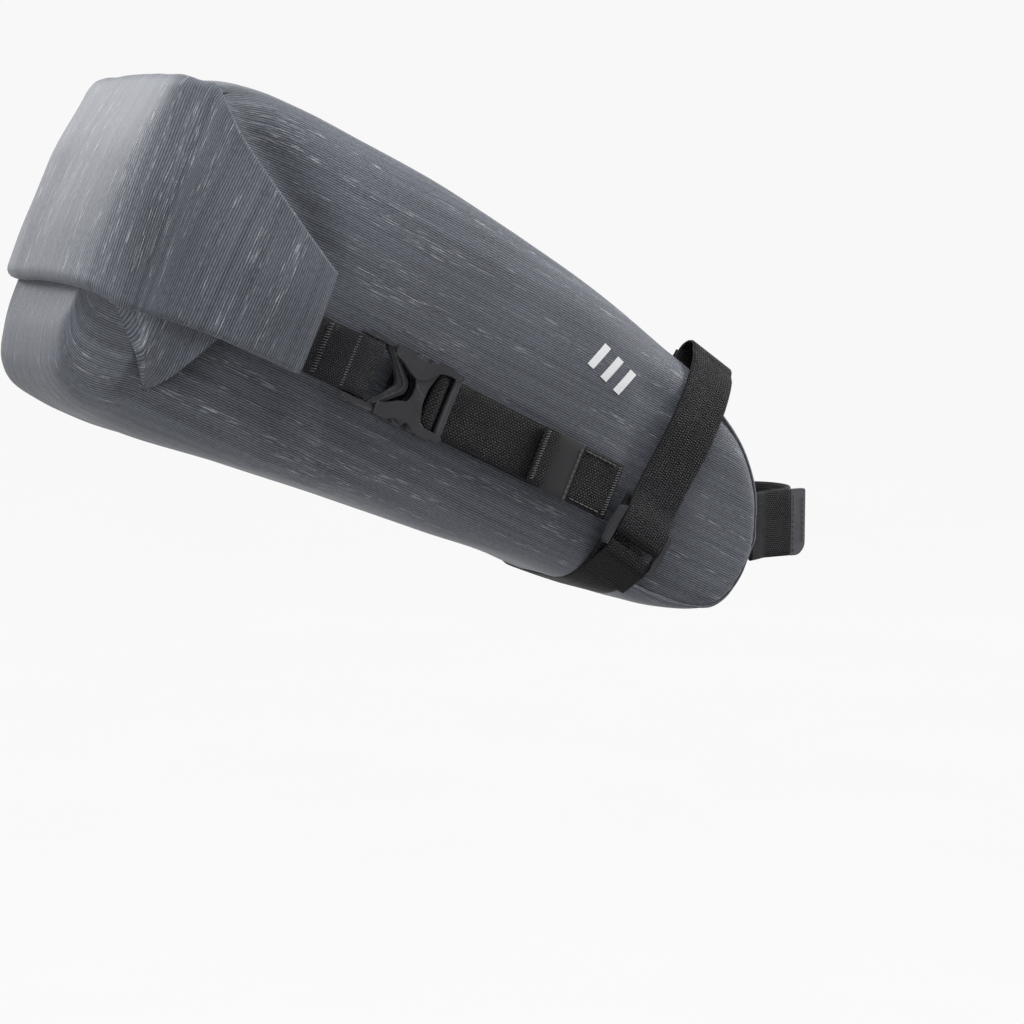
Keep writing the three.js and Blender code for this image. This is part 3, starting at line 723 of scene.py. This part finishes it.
def roll_closure():
    right, across = roll_columns(-1)
    left, _ = roll_columns(1)
    sheet = np.concatenate([right[::-1], left[1:]])
    distance = np.r_[-across[::-1], across[1:]]
    normal = normals_of(sheet, ROLL_CORE)
    down = np.linspace(0, 1, ROLL_DOWN)
    ear = step_up(np.abs(distance), 50, 66)[:, None]
    taper = 0.22 + 0.78 * np.maximum(ear, step_up(down, 0.30, 0.60)[None])
    thick = taper * (3.2 + (1 - ear) * (1.6 + 1.6 * step_up(down, 0.6, 0.9)[None]))
    belly = np.sin(np.pi * down)[None] * (0.6 + 1.8 * (1 - ear))
    slack = 0.55 * Wobble(45, (1, 1, 1.6))(sheet) + 0.2 * Wobble(16, (1, 1, 3))(sheet)
    slack = slack * step_up(down, 0.03, 0.3)[None]
    middle = sheet + normal * (belly + slack)[..., None]
    half = normal * (thick / 2)[..., None]
    loops, uv = [], []
    turn = np.linspace(0, math.pi, ROLL_ROUNDS + 2)[1:-1]
    for c, line in enumerate(middle):
        edges = []
        for end, beyond, way in ((-1, -2, 1), (0, 1, -1)):
            out = unit(line[end] - line[beyond]) * thick[c, end] / 2
            edges.append([line[end] + way * half[c, end] * math.cos(a) + out * math.sin(a) for a in turn])
        loops.append(np.concatenate([line + half[c], edges[0], (line - half[c])[::-1], edges[1]]))
        fall = travel_along(sheet[c])
        fall -= fall[-1]
        bend = np.linspace(0.5, 4, ROLL_ROUNDS)
        run = np.r_[fall, bend, 4.5 - fall[::-1], 4.5 - fall[0] + bend, 9 - fall[0]]
        uv.append(np.stack([run, np.full(len(run), distance[c])], 1))
    return grid_part(to_bag(loops), uv, around=True, ends=True)


PLEAT_TOP, PLEAT_DROP = -33, 32         # height where it leaves the roll, and how far it runs down
PLEAT_RIDGE = 0.38                      # share of its width behind its ridge


def pleat(sign):
    """Corner fold of the rear face, laid flat on the bag's side below the roll's end."""
    rows, uv = [], []
    for t in np.linspace(0, 1, 26):
        height = PLEAT_TOP - PLEAT_DROP * t
        back, front = 339 - 25 * t ** 1.3, 297 + 17 * t
        ridge = 327.5 - 13.6 * t ** 2.6
        close = float(1 - step_up(t, 0.7, 1.0))
        line, cloth = [], []
        for u in np.linspace(0, 1, 40):
            if u < PLEAT_RIDGE:
                v = u / PLEAT_RIDGE
                station = back + (ridge - back) * v
                lift = math.sin(math.pi / 2 * v)
            else:
                v = (u - PLEAT_RIDGE) / (1 - PLEAT_RIDGE)
                station = ridge + (front - ridge) * v
                lift = 1 - 0.15 * math.sin(math.pi * v)
            out = side_of(station, height) + 0.4 + (1.6 + 4.6 * close) * lift
            line.append((station, sign * out, height))
            cloth.append((-height, station))
        rows.append(line)
        uv.append(cloth)
    return grid_part(to_bag(rows), uv)


def build_roll():
    make_piece("rolled_closure", "bag", FABRIC, [roll_closure()], bag_frame(),
               replaces=("roll_closure", "closure_stiffener"))
    for side, sign in SIDES.items():
        fold = make_piece(f"corner_pleat_{side}", "bag", FABRIC, [pleat(sign)], bag_frame())
        thicken(fold, 1.6)
        edges = fold.modifiers.new("fine", "SUBSURF")
        edges.levels = edges.render_levels = 1


# ---- webbing ----

THREAD_WIDE = 0.52
POST_HALF, POST_THICK = 15, 2   # seatpost strap: half its width, and its thickness


def strip_part(line, width, thickness, edge=0.5, wide_steps=8):
    """Webbing with rounded edges along a flat (a, b) line; its width runs along the third axis."""
    line = np.asarray(line, float)
    tangent = unit(np.gradient(line, axis=0))
    normal = np.stack([-tangent[:, 1], tangent[:, 0]], 1)
    half, t = width / 2, thickness / 2
    flat = np.linspace(-half + edge, half - edge, wide_steps)
    side = [(half - 0.15 * edge, 0.55 * t), (half, 0), (half - 0.15 * edge, -0.55 * t)]
    outline = [(w, t) for w in flat] + side + [(w, -t) for w in flat[::-1]] + [(-w, h) for w, h in side[::-1]]
    outline = np.array(outline)
    points = [np.c_[p + outline[:, 1:2] * n, outline[:, 0]] for p, n in zip(line, normal)]
    widths = np.r_[outline[:, 0], outline[:1, 0]]
    return grid_part(points, [[(u, w) for w in widths] for u in travel_along(line)], around=True, ends=True)


def polyline(points, spacing=1.2):
    """The given corners rounded a little and resampled."""
    points = np.asarray(points, float)
    length = np.linalg.norm(np.diff(points, axis=0), axis=1).sum()
    return through(points, max(8, int(length / spacing)))


def arc(centre, radius, start, stop, steps):
    angle = np.radians(np.linspace(start, stop, steps + 1))
    return [(centre[0] + radius * math.cos(a), centre[1] + radius * math.sin(a)) for a in angle]


def side_strip(line, width=WEB, thickness=WEB_THICK):
    """A strip in a side frame: the line is (forward, out)."""
    return strip_part(polyline(line), width, thickness)


def rail_strip(line):
    """A strip in a rail frame: the line is (out, up) and the width lies along the bag."""
    points, faces, uvs = strip_part(polyline(line), RAIL_WEB, RAIL_WEB_THICK)
    return points[:, [2, 0, 1]], faces, uvs


def post_strip(line):
    """A strip round the seatpost: the line is (forward, left) and the width lies along the post."""
    return strip_part(polyline(line), 2 * POST_HALF, POST_THICK, 0.8, 10)


def stitch_part(start, stop, out=(0, 1, 0)):
    """One stitch: a short arched thread that dips in at both ends."""
    start, stop, out = (np.asarray(p, float) for p in (start, stop, out))
    t = np.linspace(0, 1, 6)
    line = start + (stop - start) * t[:, None] + out * (0.35 * np.sin(math.pi * t) - 0.12)[:, None]
    return tube_part(line, np.tile(out, (len(t), 1)), THREAD_WIDE, THREAD_WIDE, 6)


def bartack(x, half, height, spread=1.1, pitch=1.05):
    """A zigzag of stitches across a strap at x, from -half to half."""
    count = int(2 * half / pitch)
    parts = []
    for k in range(count):
        z = -half + 2 * half * (k + 0.5) / count
        middle = x + rng.uniform(-0.12, 0.12)
        parts.append(stitch_part((middle - spread, height, z - 0.25), (middle + spread, height, z + 0.3)))
    return parts


def stitch_row(start, stop, height, length=2.0, gap=0.8):
    """A straight row of running stitches between two (forward, across) points."""
    start, stop = np.asarray(start, float), np.asarray(stop, float)
    run = np.linalg.norm(stop - start)
    along = (stop - start) / run
    parts = []
    for k in range(int(run / (length + gap))):
        a = start + along * k * (length + gap)
        b = a + along * length
        parts.append(stitch_part((a[0], height, a[1]), (b[0], height, b[1])))
    return parts


# ---- moulded parts ----


def rounded(corners, radius):
    """A closed outline with its corners rounded; a corner may carry its own radius."""
    out = []
    n = len(corners)
    for k, corner in enumerate(corners):
        own = corner[2] if len(corner) > 2 else radius
        p = np.array(corner[:2], float)
        a = np.array(corners[k - 1][:2], float) - p
        b = np.array(corners[(k + 1) % n][:2], float) - p
        la, lb = np.linalg.norm(a), np.linalg.norm(b)
        cut = min(own, 0.45 * la, 0.45 * lb)
        a, b = p + a / la * cut, p + b / lb * cut
        for t in np.linspace(0, 1, 6):
            out.append((1 - t) ** 2 * a + 2 * t * (1 - t) * p + t * t * b)
    return np.array(out)


def plate_part(outline, low, high):
    """A plate from an outline in the (forward, across) plane, low to high outwards."""
    curve = bpy.data.curves.new("outline", "CURVE")
    curve.dimensions = "2D"
    curve.fill_mode = "BOTH"
    curve.extrude = (high - low) / 2
    spline = curve.splines.new("POLY")
    spline.points.add(len(outline) - 1)
    for point, (x, z) in zip(spline.points, outline):
        point.co = (x, z, 0, 1)
    spline.use_cyclic_u = True
    holder = scene_object("outline", curve)
    bpy.context.view_layer.update()
    mesh = bpy.data.meshes.new_from_object(holder.evaluated_get(bpy.context.evaluated_depsgraph_get()))
    work = bmesh.new()
    work.from_mesh(mesh)
    bmesh.ops.remove_doubles(work, verts=work.verts, dist=1e-4)
    bmesh.ops.dissolve_limit(work, angle_limit=math.radians(1), verts=work.verts, edges=work.edges)
    points = [(v.co.x, (low + high) / 2 + v.co.z, v.co.y) for v in work.verts]
    work.verts.index_update()
    faces = [[v.index for v in f.verts] for f in work.faces]
    work.free()
    bpy.data.objects.remove(holder)
    bpy.data.curves.remove(curve)
    bpy.data.meshes.remove(mesh)
    uvs = [[(points[k][0], points[k][2]) for k in face] for face in faces]
    return np.array(points), faces, uvs


def moulded_plate(corners, radius, low, high, side=1):
    """A plate with rounded corners; side -1 turns it over to the strap's other edge."""
    return plate_part(rounded([(x, side * z, *own) for x, z, *own in corners], radius), low, high)


def mirrored(half):
    """Corners and their mirror images across the strap's middle, end to end."""
    return half + [(x, -z, *own) for x, z, *own in half[::-1]]


def bar_part(x0, x1, h0, h1, half):
    """A bar across a buckle with a rounded section."""
    cx, ch, rx, rh = (x0 + x1) / 2, (h0 + h1) / 2, (x1 - x0) / 2, (h1 - h0) / 2
    angle = np.linspace(0, 2 * math.pi, 17)
    ring_points = [(cx + rx * np.sign(math.cos(a)) * abs(math.cos(a)) ** 0.7,
                    ch + rh * np.sign(math.sin(a)) * abs(math.sin(a)) ** 0.7) for a in angle[:-1]]
    rows = [[(x, h, z) for x, h in ring_points] for z in (-half, 0, half)]
    uv = [[(z, k) for k in range(17)] for z in (-half, 0, half)]
    return grid_part(rows, uv, around=True, ends=True)


def tongue_parts():
    """Two rails, the webbing bar, and the pointed guide with its raised rib."""
    rail = [(-3.2, 12.3, 0.8), (10, 12.3, 0.5), (11.2, 13, 0.5), (11.2, 14.6, 0.6), (-2.6, 14.6, 1.5)]
    parts = [moulded_plate(rail, 0.5, 2.5, 7.9, side) for side in (-1, 1)]
    parts.append(bar_part(3.3, 5.7, 4.1, 6.5, 12.9))
    outer = [(8.2, 13), (11.4, 13, 1), (17.2, 7.4, 4), (23.6, 2.2, 3)]
    inner = [(8.4, -11.6, 1), (14, -6.6, 4), (19.0, 0, 2.5), (14, 6.6, 4), (8.4, 11.6, 1)]
    parts.append(moulded_plate(mirrored(outer) + inner, 0.6, 4.3, 6.5))
    outer = [(10.6, 11.6), (16.2, 6.6, 4), (21.8, 1.6, 2)]
    inner = [(10.9, -10.7), (15.6, -6, 4), (20.8, -1.2, 2)]
    parts.append(moulded_plate(mirrored(outer) + mirrored(inner), 0.4, 6.4, 7.3))
    return parts


def prong_parts(side):
    """Spring arm with its rounded button."""
    arm = [(15.8, 11), (20.6, 10.9, 1), (22, 12.6, 1), (24.2, 14.9, 1.4), (27.2, 14.9, 1.4), (29.4, 11, 1),
           (29.2, 9.3, 0.6), (16.5, 8.9)]
    button = [(23.4, 12.4), (24.8, 14.8, 1), (27, 14.8, 1), (28.4, 12.4)]
    return [moulded_plate(arm, 0.5, 4.3, 6.5, side), moulded_plate(button, 0.5, 3.9, 6.9, side)]


def socket_parts():
    """Arms with a button window each, the web between them, and the ladder for the strap."""
    arm = [(12.2, 9.8), (16, 8.9, 3), (22, 5.6, 6), (26, 4.6, 4), (30, 6.6, 6), (34, 10.6, 3), (37, 11.6, 2),
           (45.2, 11.8, 0.6), (46, 13.2, 0.8), (44.4, 14.2, 2), (36, 15.2, 4), (32, 15, 2)]
    upper = [*arm, (30.2, 12.9, 1.5), (25, 12.4, 4), (20.5, 13.2, 1.5), (18.5, 14.8, 2), (12.2, 14.6, 1)]
    lower = [*arm, (30.2, 14.6, 1.5), (25, 14.9, 4), (20.5, 14.7, 1.5), (18.5, 14.9, 2), (12.2, 14.6, 1)]
    wall = [(30.4, 11.4), (32, 10.6, 1), (35, 11.4, 1), (38, 11.9), (45.2, 12.2), (45.2, 13.4, 0.8),
            (44.4, 14, 2), (36, 14.9, 3), (32, 14.7, 1), (30.8, 13.2, 1)]
    parts = []
    for side in (-1, 1):
        parts.append(moulded_plate(upper, 0.6, 6.9, 8.8, side))
        parts.append(moulded_plate(lower, 0.6, 2.2, 4.0, side))
        parts.append(moulded_plate(wall, 0.5, 3.2, 7.8, side))
    web = mirrored([(24.8, 5.4), (26.4, 2.4, 2)])
    web += mirrored([(30, -7.4, 3), (35, -11.9, 1), (33.4, -8, 3), (31.8, -3.2, 3)])
    parts += [moulded_plate(web, 0.8, 7.0, 8.2), moulded_plate(web, 0.8, 2.4, 3.7)]
    parts += [bar_part(36.1, 38.5, 4.1, 6.5, 13), bar_part(42.8, 45.8, 5.0, 8.3, 13.4)]
    return parts


TONGUE_BAR, SOCKET_BAR = (4.6, 5.3), (37.3, 5.3)       # (forward, out) of the bars that hold webbing
TAB_IN = [(-46, 1), (-30, 1), (-18, 1), (-8, 1.2), (-1, 2.6)]
TAB_OUT = [(-1, 7.2), (-8, 4.4), (-14, 2.9), (-22.6, 2.7)]
TAIL_RUN = [(39.9, 7), (41.7, 4.9), (43.9, 4), (48.5, 3.9), (62, 4.1), (82, 3.8), (99.5, 3.9)]
PATCH_LINE = [(99.5, 2.3), (103, 2.4), (110, 2.4), (117.6, 2.25)]
SEWN_LINE = [(118, 1.9), (124, 2.1), (134, 2.0), (140.4, 1.7)]


def build_side_closure(side, sign):
    half = WEB / 2

    def add(name, material, parts, stands_for=None, body="bag"):
        replaced = (f"{stands_for}_{side}",) if stands_for else ()
        return make_piece(f"{name}_{side}", body, material, parts, side_frame(sign), replaced)

    tab = [*TAB_IN, *arc(TONGUE_BAR, 2.4, -80, 80, 6), *TAB_OUT]
    add("tab", TAB_WEB, [side_strip(tab, WEB - 1)], "closure_tab")
    tacks = bartack(-17.4, half - 1.6, 3.4) + bartack(-4.6, half - 1.4, 6.35, 0.8)
    add("tab_bartacks", THREAD, tacks)

    soften(add("buckle_male", PLASTIC, tongue_parts(), "buckle_tongue"), 0.45)
    for name, sense in (("upper", 1), ("lower", -1)):
        soften(add(f"spring_arm_{name}", PLASTIC, prong_parts(sense),
                   f"buckle_prong_{name}", f"{side}_prong_{name}"), 0.4)
    socket = f"{side}_socket"
    soften(add("buckle_female", PLASTIC, socket_parts(), "buckle_socket", socket), 0.55)

    hem = [*arc((101, 4.75), 0.85, -60, 60, 3), (99.5, 5.5), (93.5, 5.5)]
    tail = [(39.3, 2.8), *arc(SOCKET_BAR, 2.5, -90, -270, 8), *TAIL_RUN, *hem]
    add("strap_free_end", SIDE_WEB, [side_strip(tail)], "strap_tail", socket)
    add("hem_stitches", THREAD, bartack(95.2, half - 1.2, 6.3, 0.7), None, socket)

    add("side_webbing", SIDE_WEB, [side_strip([(18, 1), (60, 1), (119, 1)])], "side_strap")
    add("keeper", PATCH, [side_strip(PATCH_LINE, WEB + 1.6, 0.8)], "anchor_patch")
    add("keeper_stitches", THREAD, stitch_row((116.4, -12), (116.4, 12), 2.68, 1.6, 0.7))
    add("sewn_webbing", SIDE_WEB, [side_strip(SEWN_LINE, WEB, 1.5)], "anchor_webbing")
    box = bartack(138.6, half - 1, 2.55, 0.8)
    for z in (-half + 1.6, half - 1.6):
        box += stitch_row((119.6, z), (137.4, z), 2.9)
    add("anchor_stitches", THREAD, box)


# ---- rail straps ----

SLING_CENTRE, SLING_SUNK = 6.0, 1.3     # height of the loop's middle, and how far it sinks in
LOOP_CENTRE = (22, 85.2)                # (out, up) of the rail's middle
# (out, up) of the sewn anchor, and from the slider to the rail
ANCHOR_LINE = [(15.2, 66), (15.2, 76), (15.2, 85.3)]
RAIL_LINE = [(SLING_HALF + 5.05, 4), (SLING_HALF + 4.3, 9), (SLING_HALF + 1.5, 18), (SLING_HALF + 0.6, 34),
             (40.3, 50), (38.2, 62), (35.4, 72), (29.8, 83.8)]


def slider_parts():
    """Slider: two long rounded ears and three bars."""
    face = SLING_HALF + 1.2
    clear = RAIL_WEB / 2 + 0.4
    parts = []
    for side in (-1, 1):
        half = [(side * clear, 9.6, 1), (side * (clear + 2.2), 8.2, 2.2)]
        ear = [(x, -z, own) for x, z, own in half] + [(side * (clear + 3), 0, 6)] + half[::-1]
        parts.append(moulded_plate(ear, 1, face + 0.1, face + 3.7))
    for z0, z1, low, high in ((-8.8, -6.4, 0.1, 1.7), (6.4, 8.8, 0.1, 1.7), (-0.8, 0.8, 1.4, 2.8)):
        points, faces, uvs = bar_part(z0, z1, face + low, face + high, clear + 0.8)
        parts.append((points[:, [2, 1, 0]], faces, uvs))
    return parts


def inside_bag(points):
    """Whether (station, side, height) points lie inside the bag's plain form."""
    at = np.linspace(NOSE, REAR, 700)
    top, bottom, half, square = (np.interp(points[:, 0], at, smooth_values(at, SECTIONS[:, 0], column))
                                 for column in SECTIONS.T[1:])
    middle, rise = (top + bottom) / 2, (top - bottom) / 2
    return (np.abs(points[:, 1] / half) ** square + np.abs((points[:, 2] - middle) / rise) ** square) < 1


def sling_part():
    """Webbing drawn snugly round the underside of the bag between the two sliders."""
    to_local = np.array(bag_frame().inverted() @ rail_frame())
    angle = np.radians(np.linspace(14, -194, 110))
    across = np.linspace(-RAIL_WEB / 2, RAIL_WEB / 2, 12)
    ray, along = np.meshgrid(angle, across, indexing="ij")

    def at_reach(reach):
        return np.stack([along, reach * np.cos(ray), SLING_CENTRE + reach * np.sin(ray)], -1)

    near, far = np.full(ray.shape, 15.0), np.full(ray.shape, 75.0)
    for _ in range(18):
        reach = (near + far) / 2
        local = at_reach(reach).reshape(-1, 3) @ to_local[:3, :3].T + to_local[:3, 3]
        inner = inside_bag(local * (-1, 1, 1)).reshape(ray.shape)
        near, far = np.where(inner, reach, near), np.where(inner, far, reach)
    reach = (near + far) / 2 - SLING_SUNK
    skin = at_reach(reach + RAIL_WEB_THICK)
    loop = np.concatenate([skin, at_reach(reach)[:, ::-1]], 1)
    width = np.r_[across, across[::-1], across[:1]]
    cloth = [[(u, w) for w in width] for u in travel_along(skin[:, 6])]
    return grid_part(loop, cloth, around=True, ends=True)


def build_rail_straps():
    parts = [sling_part()]
    out = SLING_HALF + 3.7
    cover = [(35.6, -20.6), (38.6, -17.4), (42, -13.6), (out - 0.4, -11.8), (out, -9.4), (out, -6)]
    for sign in SIDES.values():
        parts.append(rail_strip([(sign * a, b) for a, b in cover]))
    make_piece("sling_webbing", "bag", RAIL_WEBBING, parts, rail_frame(), ("sling_strap",))
    turn = arc((SLING_HALF + 3.3, 0), 1.75, 180, 360, 6)
    line = [(SLING_HALF + 1.55, 4.2), *turn, *RAIL_LINE, *arc(LOOP_CENTRE, 5, 20, 180, 8), (17, 77), (17, 66)]
    for side, sign in SIDES.items():
        place, slider = rail_frame(sign), f"{side}_slider"
        make_piece(f"rail_loop_{side}", slider, RAIL_WEBBING, [rail_strip(line)], place,
                   (f"rail_strap_{side}",))
        make_piece(f"rail_anchor_{side}", "bag", RAIL_WEBBING,
                   [rail_strip(ANCHOR_LINE)], place, (f"rail_strap_anchor_{side}",))
        soften(make_piece(f"slider_{side}", slider, PLASTIC, slider_parts(), place,
                          (f"tri_glide_{side}",)), 0.5)


# ---- seatpost strap ----


def build_seatpost_strap():
    band = [(-17.2, 22.5), (-11, 19.4), (-4, 17.0), *arc((0, 0), 17.2, 80, -92, 20)]
    leg = [(-17.2, -25), (-12, -22.6), (-5, -19.6), (7.4, -19.6)]
    for name, line, stands_for in (("post_strap", band, "seatpost_strap"),
                                   ("post_strap_leg", leg, "seatpost_strap_end")):
        make_piece(name, "bag", TAB_WEB, [post_strip(line)], replaces=(stands_for,))
    corner = [(7.9, -15), (12.4, -15, 2.5), (15.8, -11.4, 2.5), (15.8, 15, 1.4), (7.9, 15)]
    soften(make_piece("pull_tab", "strap_tab", PULL_TAB,
                      [moulded_plate(corner, 0.3, -20.5, -18.7)], replaces=("seatpost_strap_tab",)), 0.5)
    stitches = []
    for z0, z1, x in ((-13, 13, 9.2), (-9, 13, 14.3)):
        for k in range(int((z1 - z0) / 2.6)):
            z = z0 + 2.6 * k
            stitches.append(stitch_part((x, -20.55, z), (x, -20.55, z + 1.8), out=(0, -1, 0)))
    make_piece("pull_tab_stitches", "strap_tab", THREAD, stitches)


PAD_HALF, PAD_MIDDLE, PAD_RISE = 13, 1, 25      # half width, middle and half height of the pad
GRIP_PITCH = 3.1


def build_post_pad():
    """Soft rubber pad between the nose and the seatpost, with grip ribs across it."""
    sides = np.linspace(-PAD_HALF, PAD_HALF, 24)
    rows, cloth = [], []
    for z in np.linspace(PAD_MIDDLE - PAD_RISE, PAD_MIDDLE + PAD_RISE, 120):
        rib = 0.35 * math.cos(2 * math.pi * z / GRIP_PITCH)
        row = []
        for y in sides:
            edge = max(abs(y) / PAD_HALF, abs(z - PAD_MIDDLE) / PAD_RISE)
            row.append((rib * (1 - step_up(edge, 0.82, 0.9)) - 16.65 - 0.5 * step_up(edge, 0.9, 1), y, z))
        rows.append(row)
        cloth.append([(z, y) for y in sides])
    pad = make_piece("post_pad", "bag", RUBBER, [grid_part(rows, cloth)],
                     replaces=("seatpost_pad",))
    thicken(pad, 1.2)


# ---- stage ----


def stage_surface(name, rows, material):
    """A surface that runs across the view through rows of (distance, height)."""
    turn = Matrix.Rotation(math.radians(-VIEW_FROM), 4, "Z")
    points = [turn @ Vector((x, y, z)) for y, z in rows for x in (-9, 0, 9)]
    faces = [(a, a + 1, a + 4, a + 3) for r in range(len(rows) - 1) for a in (3 * r, 3 * r + 1)]
    mesh = bpy.data.meshes.new(name)
    mesh.from_pydata(points, [], faces)
    mesh.polygons.foreach_set("use_smooth", [True] * len(mesh.polygons))
    surface = scene_object(name, mesh)
    surface.data.materials.append(material)


def build_stage():
    """Pale floor below the bag, and a bright backdrop that rises behind it."""
    floor, bend = -0.62, 2.2
    stage_surface("studio_floor", [(y, floor) for y in (-6, -3, 0, 1)], stage_paint("floor_paint", 0.50, 0.0))
    rows = [(1, floor), (2.2, floor), (3.4, floor)]
    rows += [(3.4 + bend * math.sin(a), floor + bend * (1 - math.cos(a)))
             for a in np.linspace(0, math.pi / 2, 16)[1:]]
    rows += [(5.6, z) for z in (3, 5, 7)]
    stage_surface("studio_backdrop", rows, stage_paint("backdrop_paint", 0.02, 0.925))


LIT_POINT = (-0.17, 0, 0.08)    # metres, like all of the stage
VIEW_FROM = 30                  # degrees round from straight across the bag's right side
VIEW_DOWN = 7.27


def area_light(name, place, size, power):
    lamp = bpy.data.lights.new(name, "AREA")
    lamp.shape = "RECTANGLE"
    lamp.size, lamp.size_y = size
    lamp.energy = power
    holder = scene_object(name, lamp)
    holder.location = place
    holder.rotation_euler = (Vector(LIT_POINT) - Vector(place)).to_track_quat("-Z", "Y").to_euler()


def build_light_and_camera():
    scene = bpy.context.scene
    world = bpy.data.worlds.new("studio")
    world.use_nodes = True
    world.node_tree.nodes["Background"].inputs[0].default_value = (0.97, 0.985, 1, 1)
    world.node_tree.nodes["Background"].inputs[1].default_value = 0.16
    scene.world = world
    scene.view_settings.view_transform = "Standard"
    area_light("key_left", (-0.75, 0.85, 0.85), (0.5, 0.5), 16)
    area_light("rear_fill", (-1.45, -0.50, 0.15), (0.7, 0.7), 8.5)
    area_light("top_soft", (-0.15, -0.48, 1.45), (0.9, 0.7), 23)
    area_light("front_fill", (0.1, -1.9, 0.7), (1.2, 1.2), 1.5)
    area_light("nose_rim", (1.15, -0.26, 0.45), (0.4, 0.8), 12)
    camera = bpy.data.cameras.new("camera")
    camera.lens = 94.2
    holder = scene_object("camera", camera)
    holder.location = (-0.6930, -0.9855, 0.156)
    azimuth, pitch = math.radians(VIEW_FROM), math.radians(VIEW_DOWN)
    aim = Vector((math.sin(azimuth) * math.cos(pitch), math.cos(azimuth) * math.cos(pitch), -math.sin(pitch)))
    holder.rotation_euler = aim.to_track_quat("-Z", "Y").to_euler()
    scene.camera = holder


build_light_and_camera()
build_stage()
build_bag()
build_nose_seam()
build_nose_lining()
build_mark()
build_roll()
for side_name, side_sign in SIDES.items():
    build_side_closure(side_name, side_sign)
build_rail_straps()
build_seatpost_strap()
build_post_pad()
